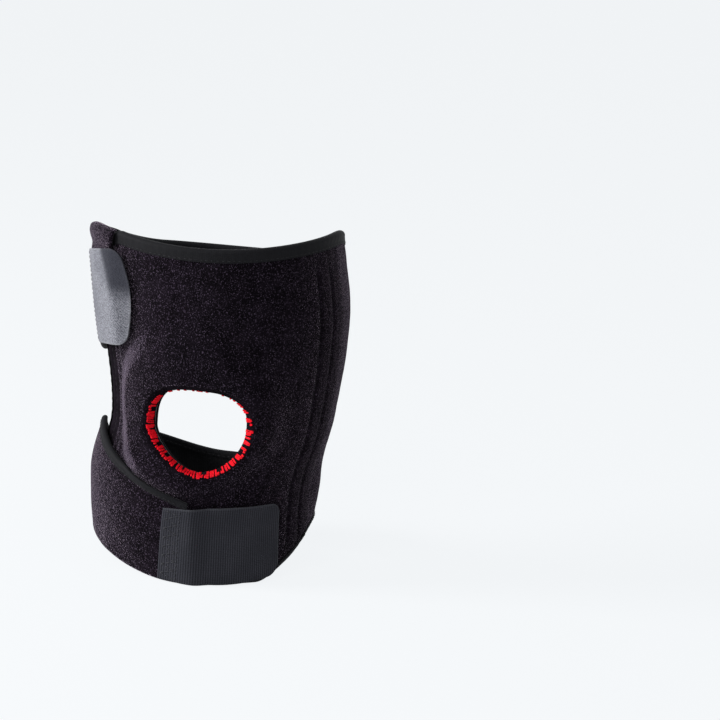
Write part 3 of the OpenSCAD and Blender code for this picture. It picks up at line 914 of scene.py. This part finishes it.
def dashes(line, pitch=3.2, share=0.72, rise=0.14, sink=0.4):
    """Stitches along a sewn line. Each rises out of the cloth and dips back into it."""
    points, outs = np.array([p for p, _ in line]), np.array([n for _, n in line])
    run = np.r_[0, np.cumsum(np.linalg.norm(np.diff(points, axis=0), axis=1))]
    count = max(1, int(run[-1] / (pitch * MM)))
    stitches = []
    for i in range(count):
        stitch = []
        for k, lift in ((0, -sink), (0.2, rise * 0.6), (0.5, rise), (0.8, rise * 0.6), (1, -sink)):
            at = (i + 0.5 + (k - 0.5) * share) / count * run[-1]
            p, n = ([np.interp(at, run, part[:, j]) for j in range(3)] for part in (points, outs))
            stitch.append(Vector(p) + Vector(n) * lift * MM)
        stitches.append(stitch)
    return stitches


def zigzag(start, stop, width, pitch, spot):
    """Three-step zigzag along a strip. spot(x, y) is a point and its way out, x across and y along."""
    turns = round((stop - start) / pitch * 2)
    stitches = []
    for i in range(turns):
        y0, y1 = mix(start, stop, i / turns), mix(start, stop, (i + 1) / turns)
        x0, x1 = (0, width) if i % 2 else (width, 0)
        slant = [spot(mix(x0, x1, t), mix(y0, y1, t)) for t in spread(0, 1, 9)]
        stitches += dashes(slant, pitch=math.hypot(width, pitch / 2) / 3, share=0.86)
    return stitches


def lumps(a, z):
    """Soft unevenness of the foam laminate."""
    broad, small = (skin(a, z, 0) / MM / span for span in LUMP_SPANS)
    return LUMP * noise.noise(broad) + LUMP * 0.5 * noise.noise(small + Vector((9, 0, 0)))


# The panel, one sheet from the free edge round the back to the seams

def bound_gap(a, z):
    """Millimetres from a point of the panel past the tape on its nearest bound edge."""
    free = math.radians(a - EDGE_A) * (along(FORM_W, z) + PANEL_T / 2)
    return min(rim_z(a) - z - TOP_TAPE_H, z - bottom_z(a) - HEM_TAPE_H, free - FREE_TAPE_H,
               notch_gap(a, z) - EDGE_TAPE_H)


def pinched(past):
    """How far each face is drawn in beside a tape."""
    return PINCH * (1 - ramp(past, -0.5, 3.5))


def channel_groove(a, z):
    """The sunk stitch lines of the stays' channels, shallower on the near side."""
    near = min(abs(a - c) for c in CHANNEL_LINES) / STAY_HALF_A * STAY_W / 1.3
    return GROOVE * bell(near, GROOVE_W) * in_pocket(z) * (1 if a > 0 else 0.5)


def panel_face(a, z):
    """Offset of the panel's outer face, with its rounded lip, channels and soft unevenness."""
    gap, past = rim_gap(a, z), bound_gap(a, z)
    raised = max(ring_bulge(a, z), STAY_SHOW * stay_bump(a, z))
    welt = WELT * bell(a - WELT_A, WELT_W) * in_pocket(z)
    wave = math.radians(a) * SIDE_R / PUCKER_RUN + 2 * noise.noise((a / 9, z / 9, 3))
    pucker = PUCKER * math.sin(wave) * math.exp(-max(0, past) / 3)
    uneven = lumps(a, z) * ramp(gap, 0, 6) * ramp(past, -2, 3)
    sunk = channel_groove(a, z) + fall(LIP_R, gap) + pinched(past)
    return PANEL_T + raised + welt + pucker + uneven - sunk


def panel_inside(a, z):
    rolled = LIP_SHARE * fall(LIP_R, rim_gap(a, z))
    return panel_off(a, z) - rolled + pinched(bound_gap(a, z))


def panel_mid(a, z):
    return panel_off(a, z) + PANEL_T / 2


def panel_columns():
    """Angles round the panel, close at the opening, the notch and the seam."""
    left, right = HOLE_ENDS_A
    near_rim = [8 * (1 - i / 12) ** 1.7 for i in range(12)]
    return [
        *spread(EDGE_A + turn(EDGE_INSET - FREE_OUT, SIDE_R), left - 8, 34)[:-1],
        *(left - d for d in near_rim),
        *(HOLE_A - HOLE_HALF_A * math.cos(math.pi * i / 46) for i in range(46)),
        *(right + d for d in (0, *reversed(near_rim[1:]))),
        *spread(right + 8, NOTCH_A - 3, 70)[:-1],
        *spread(NOTCH_A - 3, NOTCH_A + 17, 36)[:-1],
        *spread(NOTCH_A + 17, SEAM_A - 1.5, 84),
        SEAM_A - 0.9, SEAM_A - 0.4, SEAM_A,
    ]


def panel_rows(length, steps):
    """Shares of a half's height from the knee line, close at the rim and at the far edge."""
    close = [0, 0.35, 0.7, 1.1, 1.5, 2, 2.5, 3, 3.6, 4.3, 5.2, 6.2]
    inner = spread(close[-1], length - 3, steps)
    return [d / length for d in (*close[:-1], *inner, length - 1.5, length)]


def panel_half(side, far, rows):
    """The patch above the knee line, side 1, or below it, -1, as far as the edge far(a)."""
    def height(a, v):
        rim = KNEE_Z
        if abs(a - HOLE_A) < HOLE_HALF_A:
            u = (a - HOLE_A) / HOLE_HALF_A
            rim += hole_top(u) if side > 0 else -hole_bottom(u)
        elif a > NOTCH_A - 8:
            rim = notch_edge(a, side, EDGE_INSET)
        return mix(rim, far(a), v)

    def place(a, v, outer):
        z = height(a, v)
        thinned = 0.8 * (1 - ramp(SEAM_A - a, 0, 1.2))
        return skin(a, z, panel_face(a, z) - thinned if outer else panel_inside(a, z) + thinned)

    return panel_columns(), rows, place, lambda a, v: (math.radians(a) * SIDE_R, height(a, v))


def panel_outer_finish(a, z):
    """The finish that the panel's outer face shows at a spot, painted shade and painted highlight among
    them.
    """
    if EDGE_A - 4 < a < CHANNEL_LINES[2] - 3 or rim_gap(a, z) < DARK_RIM_W:
        return DARK_PLUSH
    if CHANNEL_LINES[3] < a < CHANNEL_LINES[5]:
        return PRESSED_PAINTED_SHADE
    if a < HIGHLIGHT_A and HIGHLIGHT_SHARE[0] < ring_bulge(a, z) / RING_T < HIGHLIGHT_SHARE[1]:
        return PAINTED_HIGHLIGHT
    return PLUSH


def panel():
    upper = panel_half(1, lambda a: rim_z(a) - EDGE_INSET, panel_rows(length=97, steps=54))
    lower = panel_half(-1, lambda a: bottom_z(a) + EDGE_INSET, panel_rows(length=81, steps=44))
    finishes = [PLUSH, LINING, PRESSED_PAINTED_SHADE, DARK_PLUSH, PAINTED_HIGHLIGHT]
    made = shell("brace_panel", [upper, lower], *finishes)
    for face in made.data.polygons:
        if face.material_index == 0:
            x, y, z = face.center / MM
            across, forward = (x - along(FORM_X, z)) / along(FORM_W, z), -y / along(FORM_D, z)
            # Outer faces take plain, darker, painted-shade and painted-highlight copies of the plush by
            # where they lie
            wear_and_painted_light = panel_outer_finish(math.degrees(math.atan2(across, forward)), z)
            face.material_index = finishes.index(wear_and_painted_light)
    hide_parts("thigh_panel", "calf_panel")
    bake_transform(made)


def kneecap_pieces():
    """The ring pad's foam and the patch that holds it on the inside."""
    around = spread(0, 360, 96)

    def between(t, v, share):
        (a0, z0), (a1, z1) = ring_edge(t, share), hole_edge(t, 0.4)
        return mix(a0, a1, v), mix(z0, z1, v)

    def pad_place(t, v, outer):
        a, z = between(t, v, RING_SHARE)
        low, high = SEWN_GAP, max(2.5 * SEWN_GAP, panel_inside(a, z) - 0.5)
        round_off = 0.35 * ramp(min(v, 1 - v), 0.06, 0)
        return skin(a, z, mix(low, high, 1 - round_off if outer else round_off))

    rows = [0, 0.02, 0.06, *spread(0.12, 0.9, 14), 0.96, 1]
    pad = shell("kneecap_ring_foam", [(around, rows, pad_place, lambda t, v: (t, v * 20))], FOAM)
    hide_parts("kneecap_ring_pad")
    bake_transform(pad)

    def patch_place(t, v, outer):
        a, z = between(t, v, PATCH_SHARE)
        return skin(a, z, -SEWN_GAP - (0 if outer else PATCH_T) + 0.06 * noise.noise((a / 4, z / 4, 0)))

    def patch_weave(t, v):
        return math.radians(t) * 50, v * 22

    patch = shell("kneecap_inner_patch", [(around, spread(0, 1, 22), patch_place, patch_weave)], LINING)
    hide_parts("kneecap_patch")
    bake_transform(patch)


def overlock():
    """Red thread over the opening's lip: a stitch climbs the wall, crosses the lip and comes back down.

    The stitches are uneven. In bare places they stay on the lip, and along the top most of them hide."""
    rim = PANEL_T + RING_T - LIP_R
    sunk = skin(HOLE_A, KNEE_Z, 1) - skin(HOLE_A, KNEE_Z, 0)
    pitch = 360 / OVERLOCK_STITCHES

    def on_wall(t, depth):
        a, z = hole_edge(t, -0.35 - 0.3 * ramp(depth, 0, 1.2))
        return skin(a, z, rim - depth)

    def on_lip(t, reach):
        a, z = hole_edge(t, reach)
        return skin(a, z, panel_face(a, z) + 0.2)

    lines = []
    bare = [t + chance.uniform(-8, 8) for t in BARE_PLACES]
    for i in range(OVERLOCK_STITCHES):
        t = (i + chance.uniform(-0.25, 0.25)) * pitch
        hidden = ramp(math.sin(math.radians(t)), 0.1, 0.8)
        reach = (1 - 0.9 * hidden) * (1.2 + 0.35 * math.cos(math.radians(t))) * chance.uniform(0.7, 1.3)
        depth = chance.uniform(0.3, 1.2) * (1 - 0.5 * hidden)
        back = t + pitch * chance.uniform(0.25, 0.5)
        slant = pitch * chance.uniform(-0.35, 0.35)
        if min(abs((t - b + 180) % 360 - 180) for b in bare) < 0.8 * pitch:
            down, up = ([on_lip(end, 0.35 * reach) - sunk] for end in (t, back))
        else:
            down = [on_wall(t, depth * k) for k in (1, 0.7, 0.35)]
            up = [on_wall(back, depth * k) for k in (0.35, 0.7, 1)]
        over = [on_lip(t + slant * 0.5, 0.55 * reach), on_lip(t + slant, reach),
                on_lip(back + slant, reach), on_lip(back + slant * 0.5, 0.55 * reach)]
        if chance.random() > max(0.07, 0.5 * hidden):
            lines.append(down + over + up)
    made = threads("kneecap_red_overlock", lines, OVERLOCK_R, RED_THREAD, sides=1)
    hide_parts("kneecap_overlock")
    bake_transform(made)


# The stays and their pockets

def stays():
    """Flat spiral springs: two flattened coils of wire wound into each other."""
    steps = round((BAR_Z[1] - BAR_Z[0]) / TURN_PITCH * TURN_STEPS)
    half_w, half_t = STAY_W / 2 - WIRE_R - 0.3, STAY_T / 2 - WIRE_R - 0.05

    def coil(s, phase):
        line = []
        for i in range(steps + 1):
            z = mix(BAR_Z[0] + 0.4, BAR_Z[1] - 0.4, i / steps)
            turned = math.tau * (i / TURN_STEPS + phase)
            across = math.copysign(abs(math.cos(turned)) ** 0.6, math.cos(turned)) * half_w
            off = STAY_FLOOR + STAY_T / 2 + math.sin(turned) * half_t
            line.append(skin(s + turn(across, along(FORM_W, z)), z, off))
        return line

    for name, s in zip(("inner_rear", "inner_front", "outer_front", "outer_rear"), STAY_ANGLES):
        made = threads(f"{name}_stay_coil", [coil(s, 0), coil(s, 0.5)], WIRE_R, STEEL)
        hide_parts(f"{name}_stay")
        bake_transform(made)


def stay_tips():
    for name in ("stay_upper_tips", "stay_lower_tips"):
        for material_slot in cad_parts[name].material_slots:
            material_slot.material = TIP


def pocket_ends(a):
    """Heights of a pocket's ends, clear of the hem's tape."""
    return max(POCKET_Z[0], bottom_z(a) + HEM_TAPE_H + 1), POCKET_Z[1]


def pocket_face(k):
    return -SEWN_GAP + STAY_FLOOR * ramp(0.86 - abs(k), 0, 0.3)


def stay_pockets():
    def strip(s):
        def place(k, z, outer):
            off = pocket_face(k) - (0 if outer else POCKET_T) + 0.05 * noise.noise((s, k, z / 5))
            return skin(s + k * STAY_HALF_A, z, off)

        heights = spread(*pocket_ends(s + STAY_HALF_A), 90)
        return spread(-0.96, 0.96, 16), heights, place, lambda k, z: (k * 5, z)

    made = shell("stay_pocket_tapes", [strip(s) for s in STAY_ANGLES], BINDING)
    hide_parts("thigh_stay_pockets", "calf_stay_pockets")
    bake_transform(made)


# Tapes and stitches

PANEL_HALF = PANEL_T / 2 - PINCH
WING_HALF = WING_T / 2 - WING_PINCH


def binding(name, path, mid, half, reach, radius, flat_length):
    """Folded tape over an edge, and its stitches.

    path holds (angle, height, way in round the brace, way in along its height), the ways for each
    millimetre in from the edge. mid(a, z) is the middle of the sheet, half its pinched half thickness
    there, and reach how far the tape comes in on each face."""
    bead = half + 0.1 + TAPE_T
    flap = spread(reach, bead, 6)[:-1]
    arc = [math.radians(d) for d in spread(90, 270, 12)]

    def profile(r):
        fold = [(bead + r * math.cos(t), r * math.sin(t)) for t in arc]
        return [(x, r) for x in flap] + fold + [(x, -r) for x in reversed(flap)]

    faces = profile(bead - TAPE_T), profile(bead)
    wide = [0]
    for (x0, y0), (x1, y1) in zip(faces[1], faces[1][1:]):
        wide.append(wide[-1] + math.hypot(x1 - x0, y1 - y0))
    step = flat_length / (len(path) - 1)

    def place(i, k, outer):
        a, z, in_a, in_z = path[i]
        x, y = faces[outer][k]
        a, z = a + in_a * turn(x, radius), z + in_z * x
        ripple = 1 + 0.045 * math.sin(i * 1.9 + 3 * noise.noise((i / 7, k / 5, 1))) * ramp(x, 0, 2)
        return skin(a, z, mid(a, z) + y * ripple)

    def weave(i, k):
        return i * step, wide[k]

    made = shell(name, [(range(len(path)), range(len(wide)), place, weave)], BINDING)
    flat = (max(NARROW, wide[-1]) * MM, flat_length * MM)
    inset = reach - TAPE_SEAM
    seam = [(a + in_a * turn(inset, radius), z + in_z * inset) for a, z, in_a, in_z in path]
    stitches = []
    for side in (1, -1):
        stitches += dashes(sewn_line(seam, lambda a, z: mid(a, z) + side * bead, side), pitch=2.9)
    return made, stitches


def panel_bindings():
    """Tapes on the panel's edges. Returns their stitches."""
    stitches = []

    def bind(name, nodes, path, reach, radius, flat_length):
        tape, sewn = binding(name, path, panel_mid, PANEL_HALF, reach, radius, flat_length)
        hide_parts(*nodes)
        stitches.extend(sewn)
        return tape

    angles = spread(EDGE_A, SEAM_A, 280)
    rim = [(a, rim_z(a), 0, -1) for a in angles]
    top = bind("top_binding", ["thigh_top_tape"], rim, TOP_TAPE_H, radius=64, flat_length=362)
    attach(top, "thigh_cuff")

    bottom = [(a, bottom_z(a), 0, 1) for a in angles]
    hem = bind("hem_binding", ["calf_hem_tape"], bottom, HEM_TAPE_H, radius=56, flat_length=312)
    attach(hem, "calf_cuff")

    low, high = bottom_z(EDGE_A) + HEM_TAPE_H + SEWN_GAP, rim_z(EDGE_A) - TOP_TAPE_H - SEWN_GAP
    upright = [(EDGE_A - turn(FREE_OUT, along(FORM_W, z)), z, 1, 0) for z in spread(low, high, 110)]
    edge = bind("free_edge_binding", ["thigh_edge_tape", "calf_edge_tape"], upright, FREE_TAPE_H,
                SIDE_R, high - low)
    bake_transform(edge)

    ways = np.gradient(NOTCH, axis=0)
    ways /= np.linalg.norm(ways, axis=1)[:, None]
    hollow = [(math.degrees(x / BACK_R), z, dz, -dx) for (x, z), (dx, dz) in zip(NOTCH, ways)]
    length = float(np.hypot(*np.diff(NOTCH, axis=0).T).sum())
    notch = bind("notch_binding", ["thigh_notch_tape", "calf_notch_tape"], hollow, EDGE_TAPE_H,
                 BACK_R, length)
    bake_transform(notch)
    return stitches


def panel_stitching(stitches):
    """Stitches through the panel: along the tapes, the stays' channels and the rim of the patch."""
    for c in CHANNEL_LINES:
        spots = [(c, z) for z in spread(*pocket_ends(c), 60)]
        stitches += dashes(sewn_line(spots, panel_face))
    for s in STAY_ANGLES:
        for k in (-0.9, 0.9):
            spots = [(s + k * STAY_HALF_A, z) for z in spread(*pocket_ends(s + STAY_HALF_A), 40)]
            stitches += dashes(sewn_line(spots, lambda a, z: pocket_face(0.9) - POCKET_T, -1))
    rim = [ring_edge(t, PATCH_SHARE - 0.04) for t in spread(0, 360, 120)]
    stitches += dashes(sewn_line(rim, lambda a, z: -SEWN_GAP - PATCH_T, -1))
    made = threads("panel_stitching", stitches, SEWING_R, BLACK_THREAD)
    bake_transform(made)


# The wings

def seam_bend(name, z):
    """The strip past a wing's seam that bends when the wing is opened."""
    start, end = (skin(a, z, PANEL_T / 2) for a in (WING_START, WING_START + WING_BEND_RUN))
    return f"{name}_cuff", f"{name}_strap", tuple(start), tuple(end)


def wing_cloth(name, low, high, end, height, length, taped_low):
    """A wing's foam laminate, rounded at its cut edges and pinched under its tape."""
    half = WING_T / 2

    def place(u, v, outer):
        a = mix(WING_START, end(v), u)
        z = mix(low(a), high(a), v)
        to_tape, to_cut = (z - low(a), high(a) - z) if taped_low else (high(a) - z, z - low(a))
        cut = min(to_cut, (1 - u) * length)
        full = min(1, cut / half)
        free = ramp(u, 0, 0.25)
        face = half * math.sqrt(max(0.05, 1 - (1 - full) ** 2))
        face -= WING_PINCH * (1 - ramp(to_tape - EDGE_TAPE_H, -1, 3)) * full
        tension = TENSION * noise.noise((a / 16 + z / 14, z / 60, 5)) * free
        waves = lumps(a, z) * ramp(cut, 0, 3) + TENSION * noise.noise((a / 13 - z / 20, 0, 2)) * free
        off = face + max(0, waves) * 0.8 + tension if outer else max(0, tension) * 0.3 - face
        return skin(a, z, wing_mid(a, z) + off)

    def weave(u, v):
        return u * length, v * height

    patch = (edged(length, 1.25), edged(height, 1.25), place, weave)
    made = shell(f"{name}_wing_cloth", [patch], PLUSH, LINING)
    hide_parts(f"{name}_wing")
    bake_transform(made)


def seam_zigzag(low, high):
    """Zigzag over the butted seam between the panel and a wing, on both faces."""
    width = 5
    stitches = []
    for side in (1, -1):
        off = PANEL_T / 2 + side * (WING_T / 2 + 0.25)

        def spot(x, y):
            return on_face(WING_START + turn(x - width / 2, SIDE_R), y, off, side)

        stitches += zigzag(low, high, width, 3, spot)
    return stitches


def wing_sewing(name, path, seam, radius, flat_length):
    """The tape on a wing's edge, and the stitches of that tape and of the wing's seam."""
    tape, stitches = binding(f"{name}_wing_binding", path, wing_mid, WING_HALF, EDGE_TAPE_H,
                             radius, flat_length)
    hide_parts(f"{name}_wing_tape")
    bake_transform(tape)
    made = threads(f"{name}_wing_stitching", stitches + seam_zigzag(*seam), SEWING_R, BLACK_THREAD)
    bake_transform(made)


def thigh_wing():
    bend = seam_bend("thigh", 140)
    wing_cloth("thigh", lambda a: thigh_wing_low(a) + IN_TAPE, thigh_wing_top, thigh_wing_end,
               height=70, length=78, taped_low=True)
    path = [(a, thigh_wing_low(a), 0, 1) for a in spread(WING_START + 0.4, THIGH_WING_A - 1, 96)]
    seam = (THIGH_WING_Z + 2, top_z(SEAM_A) - 2)
    wing_sewing("thigh", path, seam, radius=66, flat_length=78)


def calf_wing():
    bend = seam_bend("calf", 34)
    wing_cloth("calf", calf_wing_low, lambda a: calf_wing_high(a) - IN_TAPE, lambda v: CALF_WING_A,
               height=62, length=124, taped_low=False)
    path = [(a, calf_wing_high(a), 0, -1) for a in spread(WING_START + 0.4, CALF_WING_A - 0.5, 96)]
    seam = (bottom_z(SEAM_A) + 1, CALF_SEAM_H - 2)
    wing_sewing("calf", path, seam, radius=61, flat_length=132)


# The tabs

def tab_pieces(name, tab, webbing, thread):
    """A tab's woven backing, its hook tape and the zigzag bar that sews it to the wing."""
    on_hooks = HOOK_T + SEWN_GAP

    def layer(level, thick, rim):
        def place(s, v, outer):
            d = min(s, tab.length - s, v * tab.height, (1 - v) * tab.height)
            rounded = rim * thick * (1 - ramp(d, 0, 0.7)) / 2
            a, z = tab.spot(s, v)
            off = tab.level(s, v) + level + 0.10 * noise.noise((s / 9, v * 5, 7))
            return skin(a, z, off + (thick - rounded if outer else rounded))

        return place

    def weave(s, v):
        return s, v * tab.height

    def on_backing(s, y):
        a, z = tab.spot(s, y / tab.height)
        return on_face(a, z, tab.level(s, y / tab.height) + on_hooks + BACKING_T)

    r = max(tab.low_r, tab.top_r)
    straight = [d * (tab.length - r) for d in edged(tab.length - r, 1.1)]
    corner = [tab.length - r + r * math.sin(math.radians(t)) for t in spread(0, 90, 24)[1:]]
    columns = straight + corner
    rows = edged(tab.height, 1.3, (0, 0.25, 0.5, 0.9, 1.4))
    cloth = (columns, rows, layer(on_hooks, BACKING_T, 0.75), weave)
    backing = shell(f"{name}_tab_webbing", [cloth], webbing)
    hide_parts(f"{name}_tab_backing")

    inset = HOOK_MARGIN / tab.height
    past = [s for s in columns if tab.lap + 0.6 < s < tab.length - HOOK_MARGIN]
    within = [inset, *(v for v in rows if inset < v < 1 - inset), 1 - inset]
    hooks = shell(f"{name}_tab_hook_tape", [(past, within, layer(0, HOOK_T, 0.4), weave)], HOOKS)
    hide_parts(f"{name}_tab_hooks")
    wide, high = max(NARROW, past[-1] - past[0]), tab.height - 2 * HOOK_MARGIN
    wide * MM
    high * MM
    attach(hooks, f"{name}_tab")

    bar_s, line_s = TAB_BAR_S
    bar = zigzag(1.2, tab.height - 1.2, TAB_BAR_W, 5, lambda x, y: on_backing(x + bar_s, y))
    bar += dashes([on_backing(line_s, y) for y in spread(0.8, tab.height - 0.8, 30)], pitch=2.4)
    sewing = threads(f"{name}_tab_stitching", bar, TAB_SEWING_R, thread)
    bend = [tuple(skin(*tab.spot(s, 0.5), TAB_ROOT)) for s in TAB_BEND_S]
    for obj in (backing, sewing):
        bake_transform(obj)


# Camera, lights and floor

def photo_camera():
    azimuth, elevation, roll = (math.radians(d) for d in CAMERA_TURN)
    level = math.cos(elevation)
    back = Vector((math.sin(azimuth) * level, -math.cos(azimuth) * level, math.sin(elevation)))
    right = Vector((math.cos(azimuth), math.sin(azimuth), 0))
    aim = Vector(CAMERA_AIM)
    eye = aim + back * CAMERA_DISTANCE
    centre = aim + right * CAMERA_SHIFT[0] + back.cross(right) * CAMERA_SHIFT[1]
    z = (eye - centre).normalized()
    x = Vector((0, 0, 1)).cross(z).normalized()
    y = z.cross(x)
    x, y = x * math.cos(roll) + y * math.sin(roll), y * math.cos(roll) - x * math.sin(roll)
    data = bpy.data.cameras.new("photo_camera")
    data.lens, data.sensor_width, data.clip_end = CAMERA_LENS, 36, 60
    camera = bpy.data.objects.new("photo_camera", data)
    camera.matrix_world = Matrix((x, y, z)).transposed().to_4x4()
    camera.matrix_world.translation = eye
    bpy.context.scene.collection.objects.link(camera)
    bpy.context.scene.camera = camera


def soft_lamp(name, place, size, power):
    data = bpy.data.lights.new(name, "AREA")
    data.shape, data.size, data.energy = "DISK", size, power
    lamp = bpy.data.objects.new(name, data)
    lamp.location = place
    lamp.rotation_euler = (Vector(place) - Vector(LAMP_AIM)).to_track_quat("Z", "Y").to_euler()
    bpy.context.scene.collection.objects.link(lamp)


def studio():
    f = finish("pale_floor")
    matte = f.node("ShaderNodeBsdfDiffuse", {}, {"Color": (0.86, 0.87, 0.88, 1)})
    glow = f.node("ShaderNodeEmission", {}, {"Color": BACKDROP, "Strength": 1.0})
    pale_floor = f.close(f.blended(f.seen() * 0.9, matte, glow))
    bm = bmesh.new()
    bmesh.ops.create_grid(bm, x_segments=1, y_segments=1, size=7)
    mesh = bpy.data.meshes.new("studio_floor")
    bm.to_mesh(mesh)
    bm.free()
    floor = piece("studio_floor", mesh, pale_floor)

    f = Finish(bpy.data.worlds.new("studio_sky"))
    soft = f.node("ShaderNodeBackground", {}, {"Color": (0.97, 0.98, 1, 1), "Strength": 0.15})
    white = f.node("ShaderNodeBackground", {}, {"Color": BACKDROP, "Strength": 1.0})
    bpy.context.scene.world = f.close(f.blended(f.seen(), soft, white), "ShaderNodeOutputWorld")
    soft_lamp("key_lamp", (-1.4, -0.45, 0.65), size=0.6, power=27)
    soft_lamp("front_lamp", (-0.25, -1.5, 1.1), size=1.2, power=9.5)
    bpy.context.scene.view_settings.view_transform = "Standard"


photo_camera()
studio()
panel()
kneecap_pieces()
overlock()
stays()
stay_pockets()
panel_stitching(panel_bindings())
thigh_wing()
calf_wing()
tab_pieces("thigh", THIGH_TAB, GREY_WEBBING, GREY_THREAD)
tab_pieces("calf", CALF_TAB, CHARCOAL_WEBBING, CHARCOAL_THREAD)
stay_tips()
